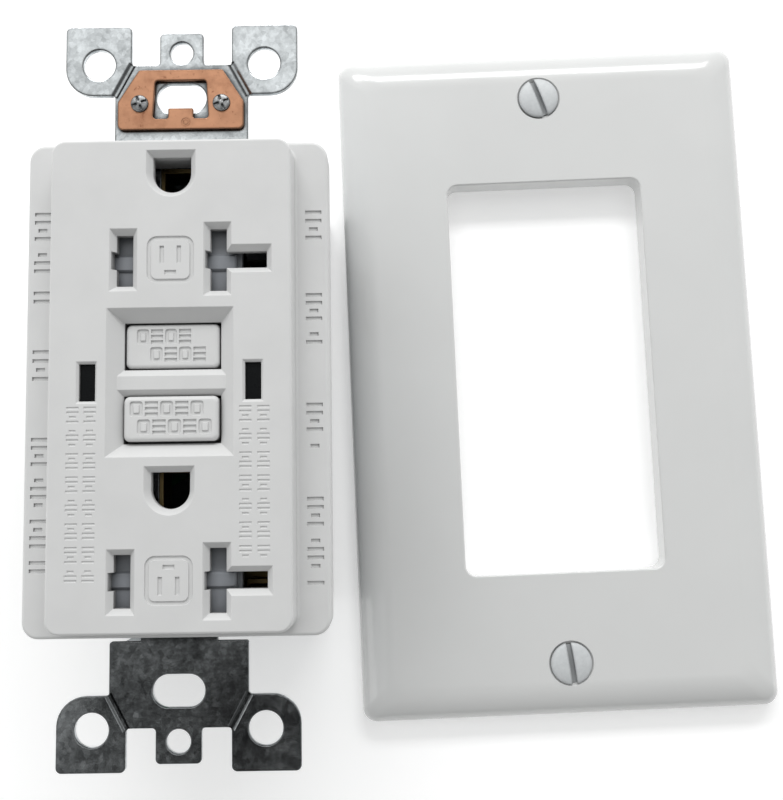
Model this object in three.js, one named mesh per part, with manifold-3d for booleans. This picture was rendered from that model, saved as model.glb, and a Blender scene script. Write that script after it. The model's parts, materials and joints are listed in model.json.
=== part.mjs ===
// A 20 A ground-fault receptacle lying on its back on the bench, with its loose wall plate beside it.
// Millimetres. +X is to the right of the face, +Y towards the top end and +Z out of the face. The origin
// is the centre of the rear cover's flat back.
import * as THREE from "three";
import { mergeVertices } from "three/addons/utils/BufferGeometryUtils.js";
import Module from "manifold-3d";

const wasm = await Module();
wasm.setup();

// ---------------------------------------------------------------- driving dimensions

// Sizes that every receptacle of this kind shares.
const BLADE_SPACING = 12.7;
const GROUND_ABOVE_BLADES = 11.9;
const BOX_SCREW_SPACING = 83.34;
const PLATE_SCREW_SPACING = 96.84;
const PLATE_SIZE = { width: 69.85, length: 114.3 };

// Heights above the bench.
const SHELL_SPLIT = 32.5;
const STRAP_FRONT = 35.7;
const SHOULDER_TOP = 37.7;
const FACE_TOP = 42.5;

// Housing.
const HOUSING = { width: 42, length: 68.6, corner: 2.1 };
const FACE = { width: 32.56, length: 66.45, corner: 1.6 };
const WALL = 2;
const FACE_THICKNESS = 2.2;
const SHOULDER_THICKNESS = 1.7;
const BEVEL_DEPTH = 1;
const BEVEL_WIDTH = 0.8;
const REAR = { bottomWidth: 38.2, topWidth: 41, length: 67.6, corner: 2, footEase: 0.4 };
const REAR_ROOM = { width: 34.4, length: 63.6 };
const BOSS = { x: 16.2, y: 30.2, radius: 2.2, bore: 1.15, boreEnd: 35.9 };

// Receptacles: both stand the same way up, with the ground opening above the blades.
const BLADE_X = BLADE_SPACING / 2;
const RECEPTACLES = { upper: 16.6, lower: -26.4 };
const HOT_SLOT = { width: 2.2, length: 7 };
const NEUTRAL_SLOT = { width: 2.2, length: 8.5, legEnd: 6.55, legWidth: 2.24 };
const GROUND_HOLE = { width: 5.16, length: 4.9 };
const SLOT_NOTCH = { depth: 0.6, length: 2.4 };

// Button recess.
const RECESS = { width: 17.1, length: 20, floorWidth: 13.1, floorLength: 16.4, floor: 40.5 };
const BRIDGE = { top: 41.3, halfTop: 0.93, halfBase: 1.8 };
const BUTTON = {
  width: 12.8,
  length: 6.1,
  flangeWidth: 15.2,
  flangeLength: 7,
  flangeBottom: 37,
  flangeTop: 38,
  stemSide: 2.4,
};
const TEST = { y: 5, top: 40.6, stemBottom: 24.35 };
const RESET = { y: -4.9, top: 41.5, pin: 1.3, pinWay: 1.75, springSeat: 28 };
const WINDOW = { x: 11.1, width: 2.15, length: 5, pipeBottom: 34.1, sunk: 0.8 };

// Strap.
const STRAP = {
  thickness: 1,
  half: 9.55,
  bottomNeck: 5.3,
  bottomNeckEnd: 35,
  innerHalf: 13.6,
  innerEnd: 31.8,
  earIn: 7.2,
  earOut: 16.7,
  earStart: 42.25,
  earEnd: 52.5,
  shoulder: 46.65,
  tabHalf: 3.15,
  tabEnd: 51.4,
};
const STRAP_BACK = STRAP_FRONT - STRAP.thickness;
const CONTACT_WINDOW = {
  hot: { x: -6.45, width: 5.7 },
  neutral: { x: 8.4, width: 9.6 },
  length: 9.2,
  ground: 5.6,
};
const EAR_HOLE = { x: 11.87, y: 46.79, radius: 2.33 };
const OVAL = { length: 7.15, width: 4.45 };
const TAB_HOLE_RADIUS = 1.65;
const RIVET = { x: 5.85, y: 40.7, shank: 0.8, head: 1.25 };
const CLIP_THICKNESS = 0.6;
const CLIP = {
  half: 9,
  start: 36.9,
  shoulder: 41,
  end: 45.7,
  endHalf: 6,
  windowHalf: 4,
  windowEndHalf: 3.65,
  windowStart: 38.5,
  windowEnd: 44.1,
  tongueHalf: 1.8,
  tongueEnd: 40,
};
const GROUND_TAB = { x: -5, z: 29.8, halfWidth: 4, bottom: 25.6, tabBack: -36.8, tabFront: -35.8 };

// Terminals on the sides and the screws that draw their clamp plates.
const TERMINAL = { y: 19, z: 17, halfWidth: 4.5, bottom: 11.5, top: 22.5, inside: 16, outside: 17 };
const SCREW = { shank: 1.7, clearance: 1.95, head: 3.9 };

// Contacts and mechanism.
const GROUND_SOCKET = { bottom: 29, flangeBottom: 33.95, outside: 6.2, bore: 5, split: 0.8 };
const SHEET = 0.9;
const BAR_Z = 25;
const FRAME_Z = { bottom: 26.2, top: 33.8 };
const BOARD_Z = { bottom: 4.5, top: 6.1 };
const CORE = { y: -20, outer: 8, inner: 4 };
const ARM = { inner: 5.4, outer: 8.6, z: 19.85 };
const SOLENOID = { z: 12.4, start: 8, end: 25 };
const VARISTOR = { y: 8.5, z: 12.9 };

// Wall plate on the bench, turned a little.
const PLATE = { x: 57.37, y: 4.58, turn: 0.029, height: 5.6, roll: 6, skin: 1.9, corner: 2.3 };
const PLATE_OPENING = { width: 33.4, length: 66.9, corner: 1.7 };

// ---------------------------------------------------------------- finishes

const FINISH = {
  whiteResin: { color: 0xd6d7d9, roughness: 0.45, metalness: 0 },
  glossWhite: { color: 0xdcdde0, roughness: 0.2, metalness: 0 },
  greyResin: { color: 0x6f7478, roughness: 0.5, metalness: 0 },
  darkResin: { color: 0x2c2e31, roughness: 0.5, metalness: 0 },
  smokedLens: { color: 0x17191b, roughness: 0.15, metalness: 0 },
  galvanised: { color: 0xaab2b8, roughness: 0.45, metalness: 0.9 },
  copper: { color: 0xc8865f, roughness: 0.4, metalness: 0.9 },
  brass: { color: 0xc9a557, roughness: 0.35, metalness: 0.9 },
  nickel: { color: 0xc4c5c4, roughness: 0.3, metalness: 0.9 },
  greenScrew: { color: 0x2f7a45, roughness: 0.4, metalness: 0.6 },
  spring: { color: 0xa0a3a6, roughness: 0.3, metalness: 1 },
  board: { color: 0x1f5a38, roughness: 0.5, metalness: 0 },
  windings: { color: 0x9a4a22, roughness: 0.35, metalness: 0.7 },
  ferrite: { color: 0x3a3d40, roughness: 0.7, metalness: 0.2 },
  varistorBlue: { color: 0x2a4f8f, roughness: 0.4, metalness: 0 },
  ledBody: { color: 0xb7d8b0, roughness: 0.2, metalness: 0 },
};

// ---------------------------------------------------------------- geometry helpers

// A closed three.js geometry as a solid that can be joined and cut.
function toSolid(geometry) {
  const bare = geometry.clone();
  bare.deleteAttribute("normal");
  bare.deleteAttribute("uv");
  const merged = mergeVertices(bare, 1e-4);
  const vertProperties = merged.attributes.position.array;
  const triVerts = Uint32Array.from(merged.index.array);
  return new wasm.Manifold(new wasm.Mesh({ numProp: 3, vertProperties, triVerts }));
}

function toGeometry(solid) {
  const { vertProperties, triVerts } = solid.getMesh();
  const geometry = new THREE.BufferGeometry();
  geometry.setAttribute("position", new THREE.BufferAttribute(vertProperties, 3));
  geometry.setIndex(new THREE.BufferAttribute(triVerts, 1));
  geometry.computeVertexNormals();
  return geometry;
}

const join = (first, ...rest) => rest.reduce((sum, next) => sum.add(next), first);
const cut = (first, ...rest) => rest.reduce((left, next) => left.subtract(next), first);

// A block between two values on each axis, given in either order.
function box(x0, x1, y0, y1, z0, z1) {
  const geometry = new THREE.BoxGeometry(Math.abs(x1 - x0), Math.abs(y1 - y0), Math.abs(z1 - z0));
  geometry.translate((x0 + x1) / 2, (y0 + y1) / 2, (z0 + z1) / 2);
  return toSolid(geometry);
}

// A block given by its centre in plan, its size in plan and its two heights.
const block = (x, y, width, length, z0, z1) =>
  box(x - width / 2, x + width / 2, y - length / 2, y + length / 2, z0, z1);

// Turns a geometry that stands along +Z until it runs along the named axis.
function aim(geometry, axis) {
  if (axis === "x") geometry.rotateY(Math.PI / 2);
  if (axis === "y") geometry.rotateX(-Math.PI / 2);
  return geometry;
}

// A round bar along an axis between two values on it, centred at (a, b) on the other two axes.
function rod(axis, radius, from, to, a = 0, b = 0, sides = 14) {
  const geometry = new THREE.CylinderGeometry(radius, radius, Math.abs(to - from), sides);
  geometry.rotateX(Math.PI / 2);
  aim(geometry, axis);
  const middle = (from + to) / 2;
  if (axis === "x") geometry.translate(middle, a, b);
  if (axis === "y") geometry.translate(a, middle, b);
  if (axis === "z") geometry.translate(a, b, middle);
  return toSolid(geometry);
}

// A body turned about the Z axis from (radius, height) pairs that start and end on the axis.
function turned(profile, sides = 16) {
  const points = profile.map(([radius, height]) => new THREE.Vector2(radius, height));
  const geometry = new THREE.LatheGeometry(points, sides);
  geometry.rotateX(Math.PI / 2);
  return geometry;
}

// Outline through corners given anticlockwise as [x, y, radius]; a radius turns the corner into an arc.
function outline(corners, arcSteps = 3) {
  const count = corners.length;
  return corners.flatMap(([x, y, radius = 0], i) => {
    const here = new THREE.Vector2(x, y);
    if (!radius) return [here];
    const [beforeX, beforeY] = corners[(i + count - 1) % count];
    const [afterX, afterY] = corners[(i + 1) % count];
    const back = new THREE.Vector2(beforeX, beforeY).sub(here).normalize();
    const ahead = new THREE.Vector2(afterX, afterY).sub(here).normalize();
    const halfAngle = Math.acos(back.dot(ahead)) / 2;
    const inward = back.clone().add(ahead).normalize();
    const centre = here.clone().addScaledVector(inward, radius / Math.sin(halfAngle));
    const start = back.clone().multiplyScalar(radius / Math.tan(halfAngle)).add(here).sub(centre);
    const end = ahead.clone().multiplyScalar(radius / Math.tan(halfAngle)).add(here).sub(centre);
    const sweep = Math.atan2(start.cross(end), start.dot(end));
    return Array.from({ length: arcSteps + 1 }, (_, step) =>
      start.clone().rotateAround(new THREE.Vector2(), (sweep * step) / arcSteps).add(centre),
    );
  });
}

function rectangle(width, length, corner = 0, x = 0, y = 0) {
  const [w, l] = [width / 2, length / 2];
  return outline([
    [x - w, y - l, corner],
    [x + w, y - l, corner],
    [x + w, y + l, corner],
    [x - w, y + l, corner],
  ]);
}

function circle(radius, x = 0, y = 0, sides = 16) {
  return Array.from({ length: sides }, (_, i) => {
    const angle = (2 * Math.PI * i) / sides;
    return new THREE.Vector2(x + radius * Math.cos(angle), y + radius * Math.sin(angle));
  });
}

// A straight-sided body over an outline.
function prism(points, z0, z1) {
  const depth = z1 - z0;
  const geometry = new THREE.ExtrudeGeometry(new THREE.Shape(points), { depth, bevelEnabled: false });
  geometry.translate(0, 0, z0);
  return toSolid(geometry);
}

// A flat piece of constant thickness with holes.
function sheet(points, holes, z0, z1) {
  return cut(prism(points, z0, z1), ...holes.map((hole) => prism(hole, z0 - 1, z1 + 1)));
}

// A closed body through outlines of equal point counts, lowest first, as [height, points].
function loft(levels) {
  const count = levels[0][1].length;
  const positions = levels.flatMap(([z, points]) => points.flatMap((p) => [p.x, p.y, z]));
  const index = [];
  for (let level = 0; level + 1 < levels.length; level++) {
    for (let i = 0; i < count; i++) {
      const a = level * count + i;
      const b = level * count + ((i + 1) % count);
      index.push(a, b, b + count, a, b + count, a + count);
    }
  }
  const top = (levels.length - 1) * count;
  for (const [a, b, c] of THREE.ShapeUtils.triangulateShape(levels[0][1], [])) {
    index.push(a, c, b, top + a, top + b, top + c);
  }
  const geometry = new THREE.BufferGeometry();
  geometry.setAttribute("position", new THREE.Float32BufferAttribute(positions, 3));
  geometry.setIndex(index);
  return toSolid(geometry);
}

const moved = (points, x, y) => points.map((p) => new THREE.Vector2(p.x + x, p.y + y));

class Helix extends THREE.Curve {
  constructor(radius, height, turns) {
    super();
    Object.assign(this, { radius, height, turns });
  }
  getPoint(t, target = new THREE.Vector3()) {
    const angle = 2 * Math.PI * this.turns * t;
    return target.set(this.radius * Math.cos(angle), this.radius * Math.sin(angle), this.height * t);
  }
}

// A coil spring along an axis, from one value on that axis to another.
function coilSpring(axis, from, to, radius, wire, turns, at) {
  const height = to - from - 2 * wire;
  const section = new THREE.Shape(circle(wire, 0, 0, 4));
  const path = new Helix(radius, height, turns);
  const geometry = new THREE.ExtrudeGeometry(section, { steps: turns * 7, extrudePath: path });
  geometry.translate(0, 0, from + wire);
  aim(geometry, axis);
  geometry.translate(...at);
  return toSolid(geometry);
}

// ---------------------------------------------------------------- front cover and what shows in it

// Openings of one receptacle about its blade line, each grown outwards by the same margin.
function hotSlot(grow) {
  return moved(rectangle(HOT_SLOT.width + 2 * grow, HOT_SLOT.length + 2 * grow), -BLADE_X, 0);
}

function neutralSlot(grow) {
  const side = NEUTRAL_SLOT.width / 2 + grow;
  const end = NEUTRAL_SLOT.length / 2 + grow;
  const leg = NEUTRAL_SLOT.legWidth / 2 + grow;
  const legEnd = NEUTRAL_SLOT.legEnd + grow;
  const tee = outline([
    [-side, -end],
    [side, -end],
    [side, -leg],
    [legEnd, -leg],
    [legEnd, leg],
    [side, leg],
    [side, end],
    [-side, end],
  ]);
  return moved(tee, BLADE_X, 0);
}

function groundHole(grow) {
  const half = GROUND_HOLE.width / 2 + grow;
  const flat = GROUND_HOLE.length / 2 + grow;
  const arcCentre = GROUND_HOLE.width / 2 - GROUND_HOLE.length / 2;
  const arc = Array.from({ length: 13 }, (_, i) => {
    const angle = Math.PI * (1 + i / 12);
    return new THREE.Vector2(half * Math.cos(angle), arcCentre + half * Math.sin(angle));
  });
  const dee = [...arc, new THREE.Vector2(half, flat), new THREE.Vector2(-half, flat)];
  return moved(dee, 0, GROUND_ABOVE_BLADES);
}

// The tool that cuts a bevelled opening through the face.
function bevelledCut(shapeAt, bladeLine) {
  const beyond = 0.2;
  const slope = BEVEL_WIDTH / BEVEL_DEPTH;
  const at = (grow) => moved(shapeAt(grow), 0, bladeLine);
  return loft([
    [FACE_TOP - FACE_THICKNESS - 3, at(0)],
    [FACE_TOP - BEVEL_DEPTH, at(0)],
    [FACE_TOP + beyond, at(BEVEL_WIDTH + beyond * slope)],
  ]);
}

function receptacleCuts(bladeLine) {
  const notches = [-BLADE_X - HOT_SLOT.width / 2, BLADE_X - NEUTRAL_SLOT.width / 2].map((edge) =>
    block(edge, bladeLine, 2 * SLOT_NOTCH.depth, SLOT_NOTCH.length, FACE_TOP - 5, FACE_TOP - 0.25),
  );
  const openings = [hotSlot, neutralSlot, groundHole].map((shapeAt) => bevelledCut(shapeAt, bladeLine));
  return [...openings, ...notches];
}

// The sunk field round the two buttons, with the bridge bar left standing across it.
function recessCuts() {
  const beyond = 0.2;
  const rise = FACE_TOP - RECESS.floor;
  const spread = (beyond / rise) * (RECESS.width - RECESS.floorWidth);
  const field = loft([
    [RECESS.floor, rectangle(RECESS.floorWidth, RECESS.floorLength)],
    [FACE_TOP + beyond, rectangle(RECESS.width + spread, RECESS.length + spread)],
  ]);
  const bridge = loft([
    [RECESS.floor - 1, rectangle(RECESS.width + 2, 2 * BRIDGE.halfBase + 2)],
    [RECESS.floor, rectangle(RECESS.width + 2, 2 * BRIDGE.halfBase)],
    [BRIDGE.top, rectangle(RECESS.width + 2, 2 * BRIDGE.halfTop)],
  ]);
  const holeLength = RECESS.floorLength / 2 - BRIDGE.halfBase;
  const holeY = BRIDGE.halfBase + holeLength / 2;
  const holes = [holeY, -holeY].map((y) =>
    block(0, y, RECESS.floorWidth, holeLength, 30, RECESS.floor + 0.1),
  );
  return [cut(field, bridge), ...holes];
}

function windowCut(side) {
  const at = (grow) =>
    moved(rectangle(WINDOW.width + 2 * grow, WINDOW.length + 2 * grow), side * WINDOW.x, 0);
  const lip = 0.35;
  return loft([
    [30, at(0)],
    [FACE_TOP - lip, at(0)],
    [FACE_TOP + 0.1, at(lip + 0.1)],
  ]);
}

const bossPlaces = [
  ["upper_right", 1, 1],
  ["upper_left", -1, 1],
  ["lower_left", -1, -1],
  ["lower_right", 1, -1],
].map(([name, sx, sy]) => ({ name, x: sx * BOSS.x, y: sy * BOSS.y }));

const boardScrewPlaces = bossPlaces.map(({ x, y }) => [x * 0.75, y * 0.8]);

function frontCover() {
  const outer = (inset) => rectangle(HOUSING.width - 2 * inset, HOUSING.length - 2 * inset, HOUSING.corner);
  const raised = (inset) => rectangle(FACE.width - 2 * inset, FACE.length - 2 * inset, FACE.corner);
  const skirt = loft([
    [SHELL_SPLIT, outer(0)],
    [SHOULDER_TOP - 0.5, outer(0)],
    [SHOULDER_TOP, outer(0.4)],
  ]);
  const decorBlock = loft([
    [SHELL_SPLIT + 2, raised(-0.2)],
    [FACE_TOP - 0.4, raised(0)],
    [FACE_TOP, raised(0.35)],
  ]);
  const shoulderRoomTop = SHOULDER_TOP - SHOULDER_THICKNESS;
  const [shoulderWidth, shoulderLength] = [HOUSING.width - 2 * WALL, HOUSING.length - 2 * WALL];
  const shoulderRoom = block(0, 0, shoulderWidth, shoulderLength, SHELL_SPLIT - 0.5, shoulderRoomTop);
  const [roomWidth, roomLength] = [FACE.width - 2 * WALL, FACE.length - 2 * WALL];
  const faceRoom = block(0, 0, roomWidth, roomLength, shoulderRoomTop - 1, FACE_TOP - FACE_THICKNESS);
  const [wellWidth, wellLength] = [RECESS.width + 2.9, RECESS.length + 1.6];
  const recessWalls = block(0, 0, wellWidth, wellLength, BUTTON.flangeTop + 0.2, FACE_TOP - 1);
  const bossTop = shoulderRoomTop + 0.5;
  const bosses = bossPlaces.map(({ x, y }) => rod("z", BOSS.radius, SHELL_SPLIT, bossTop, x, y));
  const bossHoles = bossPlaces.map(({ x, y }) => rod("z", BOSS.bore, SHELL_SPLIT - 1, BOSS.boreEnd, x, y));
  const strapWay = (half, end) => block(0, end * 33.5, 2 * half, 5, SHELL_SPLIT - 1, STRAP_FRONT + 0.15);
  const strapWays = [strapWay(STRAP.half + 0.2, 1), strapWay(STRAP.bottomNeck + 0.2, -1)];
  const hollow = cut(join(skirt, decorBlock), shoulderRoom, faceRoom);
  return cut(
    join(hollow, recessWalls, ...bosses),
    ...bossHoles,
    ...strapWays,
    ...Object.values(RECEPTACLES).flatMap(receptacleCuts),
    ...recessCuts(),
    windowCut(-1),
    windowCut(1),
  );
}

// A push button: a cap with eased edges over a wider flange that stops it under the recess. The test button
// also has a stem that reaches down to its contact leaf; the reset button stands on a separate pin.
function button({ y, top, stemBottom }) {
  const ease = 0.35;
  const corner = 0.4;
  const plan = (inset) => rectangle(BUTTON.width - 2 * inset, BUTTON.length - 2 * inset, corner, 0, y);
  const cap = loft([
    [BUTTON.flangeTop - 0.5, plan(0)],
    [top - ease, plan(0)],
    [top, plan(ease)],
  ]);
  const { flangeWidth, flangeLength, flangeBottom, flangeTop, stemSide } = BUTTON;
  const flange = block(0, y, flangeWidth, flangeLength, flangeBottom, flangeTop);
  if (!stemBottom) return join(cap, flange);
  return join(cap, flange, block(0, y, stemSide, stemSide, stemBottom, flangeTop));
}

function lightPipe(side) {
  const play = 0.15;
  const { x, width, length, pipeBottom, sunk } = WINDOW;
  return block(side * x, 0, width - play, length - play, pipeBottom, FACE_TOP - sunk);
}

// A tamper-resistant slide: closed under both slots, it uncovers them when pushed towards -X.
const SHUTTER = { left: -9.3, right: 9.2, half: 4.6, bottom: 37.5, plateTop: 39, top: 40, travel: 3.9 };
const SHUTTER_LUG = { left: -4.8, right: -3.8, end: 7.6, top: 39.4 };
const SHUTTER_SPRING = { start: -13.9, radius: 1.1, wire: 0.2, turns: 5, y: 6.2, z: 38.4 };

function shutter(bladeLine) {
  const { left, right, half, bottom, plateTop, top, travel } = SHUTTER;
  const plate = box(left, right, -half, half, bottom, plateTop);
  const pads = [-BLADE_X, BLADE_X].map((x) => block(x, 0, 3.4, 2 * half, plateTop - 0.5, plateTop + 0.6));
  const ridges = [-BLADE_X, BLADE_X].map((x) => block(x, 0, 4.4, 2.2, plateTop - 0.5, top));
  const bladeWay = block(travel - BLADE_X, 0, 2.5, 8.2, bottom - 1, top + 1);
  const { left: lugLeft, right: lugRight, end: lugEnd, top: lugTop } = SHUTTER_LUG;
  const lug = box(lugLeft, lugRight, half - 0.5, lugEnd, bottom, lugTop);
  const body = cut(join(plate, ...pads, ...ridges), bladeWay);
  return join(body, lug).translate([0, bladeLine, 0]);
}

function shutterSpring(bladeLine) {
  const { start, radius, wire, turns, y, z } = SHUTTER_SPRING;
  return coilSpring("x", start, SHUTTER_LUG.left - 0.15, radius, wire, turns, [0, bladeLine + y, z]);
}

// ---------------------------------------------------------------- strap

// Corners of one end of the strap on its +X side, from the housing outwards to the centre tab.
function strapEnd(neck) {
  return [
    [STRAP.innerHalf, STRAP.innerEnd, 0.8],
    ...neck,
    [STRAP.half, STRAP.earStart, 0.5],
    [STRAP.earOut, STRAP.earStart, 4],
    [STRAP.earOut, STRAP.earEnd, 0.8],
    [STRAP.earIn, STRAP.earEnd, 0.8],
    [STRAP.earIn, STRAP.shoulder, 0.3],
    [STRAP.tabHalf, STRAP.shoulder, 0.3],
    [STRAP.tabHalf, STRAP.tabEnd, 0.5],
  ];
}

function mountingStrap() {
  const topEnd = strapEnd([[STRAP.half, STRAP.innerEnd]]);
  const bottomEnd = strapEnd([
    [STRAP.bottomNeck, STRAP.innerEnd],
    [STRAP.bottomNeck, STRAP.bottomNeckEnd],
    [STRAP.half, STRAP.bottomNeckEnd, 0.4],
  ]);
  const mirror = (corners, sx, sy) => corners.map(([x, y, radius]) => [sx * x, sy * y, radius]);
  const edge = outline([
    ...topEnd,
    ...mirror(topEnd, -1, 1).reverse(),
    ...mirror(bottomEnd, -1, -1),
    ...mirror(bottomEnd, 1, -1).reverse(),
  ]);
  const ends = [1, -1];
  const earHoles = ends.flatMap((sy) =>
    ends.map((sx) => circle(EAR_HOLE.radius, sx * EAR_HOLE.x, sy * EAR_HOLE.y)),
  );
  const tabHoles = ends.map((sy) => circle(TAB_HOLE_RADIUS, 0, (sy * PLATE_SCREW_SPACING) / 2));
  const ovals = ends.map((sy) =>
    rectangle(OVAL.length, OVAL.width, OVAL.width / 2 - 0.01, 0, (sy * BOX_SCREW_SPACING) / 2),
  );
  const rivetHoles = ends.map((sx) => circle(RIVET.shank + 0.15, sx * RIVET.x, RIVET.y, 12));
  const { hot, neutral, length, ground } = CONTACT_WINDOW;
  const contactWindows = Object.values(RECEPTACLES).flatMap((y) => [
    rectangle(hot.width, length, 0, hot.x, y),
    rectangle(neutral.width, length, 0, neutral.x, y),
    rectangle(ground, ground, 0, 0, y + GROUND_ABOVE_BLADES),
  ]);
  const buttonWindow = rectangle(16.4, 18.8);
  const pipeWindows = ends.map((sx) => rectangle(3.4, 6.2, 0, sx * WINDOW.x, 0));
  const holes = [...earHoles, ...tabHoles, ...ovals, ...rivetHoles, ...contactWindows];
  const flat = sheet(edge, [...holes, buttonWindow, ...pipeWindows], STRAP_BACK, STRAP_FRONT);
  const { x, z, tabFront, tabBack } = GROUND_TAB;
  const groundScrewHole = rod("y", 1.8, tabBack - 0.5, tabFront + 0.5, x, z);
  return cut(join(flat, groundTab()), ...creases(), groundScrewHole);
}

// The tab bent down behind the strap's lower end for the ground screw.
function groundTab() {
  const { x, halfWidth, bottom, tabFront, tabBack } = GROUND_TAB;
  return box(x - halfWidth, x + halfWidth, tabBack, tabFront, bottom, STRAP_BACK + 0.5);
}

// Shallow score lines between each ear and the strap, where the ears snap off.
function creases() {
  const [dx, dy] = [STRAP.half - STRAP.earIn, STRAP.shoulder - STRAP.earStart];
  const length = Math.hypot(dx, dy) - 0.8;
  return [1, -1].flatMap((sy) =>
    [1, -1].map((sx) => {
      const groove = new THREE.BoxGeometry(0.45, length, 0.5);
      groove.rotateZ(sx * sy * Math.atan2(dx, dy));
      groove.translate(
        (sx * (STRAP.half + STRAP.earIn)) / 2,
        (sy * (STRAP.shoulder + STRAP.earStart)) / 2,
        STRAP_FRONT,
      );
      return toSolid(groove);
    }),
  );
}

// The clip's plate tapers outwards from its shoulders; its window leaves a tongue towards the box screw.
function groundClip() {
  const { half, start, shoulder, end, endHalf } = CLIP;
  const back = STRAP_FRONT + 0.05;
  const edge = outline([
    [-half, start, 0.8],
    [half, start, 0.8],
    [half, shoulder, 0.5],
    [endHalf, end, 0.3],
    [-endHalf, end, 0.3],
    [-half, shoulder, 0.5],
  ]);
  const { windowHalf, windowEndHalf, windowStart, windowEnd, tongueHalf, tongueEnd } = CLIP;
  const windowEdge = outline([
    [-windowHalf, windowStart, 0.4],
    [-tongueHalf, windowStart],
    [-tongueHalf, tongueEnd, 0.3],
    [tongueHalf, tongueEnd, 0.3],
    [tongueHalf, windowStart],
    [windowHalf, windowStart, 0.4],
    [windowEndHalf, windowEnd, 0.4],
    [-windowEndHalf, windowEnd, 0.4],
  ]);
  const rivetHoles = [1, -1].map((sx) => circle(RIVET.shank + 0.15, sx * RIVET.x, RIVET.y, 12));
  return sheet(edge, [windowEdge, ...rivetHoles], back, back + CLIP_THICKNESS);
}

function rivetGeometry() {
  const top = CLIP_THICKNESS + 0.1;
  const tail = -STRAP.thickness - 0.1;
  return turned(
    [
      [0, tail - 0.5],
      [RIVET.head, tail - 0.5],
      [RIVET.head, tail],
      [RIVET.shank, tail],
      [RIVET.shank, top],
      [RIVET.head, top],
      [RIVET.head - 0.2, top + 0.35],
      [0, top + 0.4],
    ],
    16,
  );
}

// A socket for the ground pin, with the flange that rivets it under the strap.
function groundContact(bladeLine) {
  const { bottom, flangeBottom, outside, bore: opening, split: gap } = GROUND_SOCKET;
  const flange = box(-4.7, 4.7, -3.9, 3.3, flangeBottom, STRAP_BACK - 0.05);
  const tube = block(0, 0, outside, outside, bottom, flangeBottom + 0.05);
  const bore = block(0, 0, opening, opening, bottom - 1, STRAP_BACK + 1);
  const split = block(0, -outside / 2, gap, 2, bottom - 1, flangeBottom - 1);
  return cut(join(flange, tube), bore, split).translate([0, bladeLine + GROUND_ABOVE_BLADES, 0]);
}

// ---------------------------------------------------------------- housing behind the strap

function middleFrame() {
  const { bottom, top } = FRAME_Z;
  const [width, length] = [REAR_ROOM.width - 0.4, REAR_ROOM.length - 0.6];
  const body = prism(rectangle(width, length, 1), bottom, top);
  const [under, over] = [bottom - 1, top + 1];
  const wells = Object.values(RECEPTACLES).flatMap((y) => [
    block(-6.5, y, 6.2, 9.6, under, over),
    block(6.2, y, 5.6, 9.6, under, over),
    block(11, y, 5, 3.4, under, over),
    block(0, y + GROUND_ABOVE_BLADES, 7, 7, under, over),
  ]);
  const testWell = box(-8.1, 8.1, 1.5, 9.2, under, over);
  const resetWell = box(-8.1, 8.1, -9.2, -0.6, RESET.springSeat, over);
  const pinWay = rod("z", RESET.pinWay, under, over, 0, RESET.y);
  const pipeWays = [-1, 1].map((side) => rod("z", 2.2, under, over, side * WINDOW.x, 0));
  const corners = bossPlaces.map(({ x, y }) => rod("z", 2.9, under, over, x, y));
  return cut(body, ...wells, testWell, resetWell, pinWay, ...pipeWays, ...corners);
}

function rearCover() {
  const { bottomWidth, topWidth, length, corner, footEase } = REAR;
  const top = SHELL_SPLIT - 0.1;
  const shell = loft([
    [0, rectangle(bottomWidth - 2 * footEase, length - 2 * footEase, corner)],
    [footEase, rectangle(bottomWidth, length, corner)],
    [top, rectangle(topWidth, length, corner)],
  ]);
  const room = block(0, 0, REAR_ROOM.width, REAR_ROOM.length, WALL, top + 1);
  const [restStart, restEnd] = [REAR_ROOM.length / 2 + 0.3, REAR.length / 2 - 0.1];
  const strapRest = (half, end) =>
    box(-half, half, end * restStart, end * restEnd, top - 1, STRAP_BACK - 0.05);
  const strapRests = [strapRest(STRAP.half - 0.05, 1), strapRest(STRAP.bottomNeck - 0.1, -1)];
  const sides = [-1, 1];
  const ledges = sides.map((side) => box(side * 16.2, side * 17.6, -13, 13, 1, FRAME_Z.bottom - 0.05));
  const bosses = bossPlaces.map(({ x, y }) => rod("z", 2.4, 1, top, x, y));
  const postTop = BOARD_Z.bottom - 0.05;
  const boardPosts = boardScrewPlaces.map(([x, y]) => rod("z", 1.5, 1, postTop, x, y, 12));
  const screwWays = bossPlaces.flatMap(({ x, y }) => [
    rod("z", 1.3, -1, top + 1, x, y, 12),
    rod("z", 2.1, -1, 1.9, x, y, 16),
  ]);
  const terminalPlaces = sides.flatMap((side) => sides.map((end) => [side, end * TERMINAL.y]));
  const terminalWindows = terminalPlaces.map(([side, y]) =>
    box(side * (REAR_ROOM.width / 2 - 0.1), side * 22, y - 5.2, y + 5.2, 10.5, 23.5),
  );
  const wireHoles = terminalPlaces.flatMap(([side, y]) =>
    sides.map((pair) => rod("z", 1.4, -1, 3, side * 15.2, y + 3 * pair, 12)),
  );
  const body = join(cut(shell, room), ...strapRests, ...ledges, ...bosses, ...boardPosts);
  return cut(body, ...screwWays, ...terminalWindows, ...wireHoles);
}

// A long screw from the back, through both shells.
function housingScrew() {
  return turned(
    [
      [0, 0.2],
      [1.9, 0.3],
      [1.9, 1.6],
      [0.95, 1.8],
      [0.95, 35],
      [0, 35.6],
    ],
    12,
  );
}

// ---------------------------------------------------------------- contacts and terminals

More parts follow.
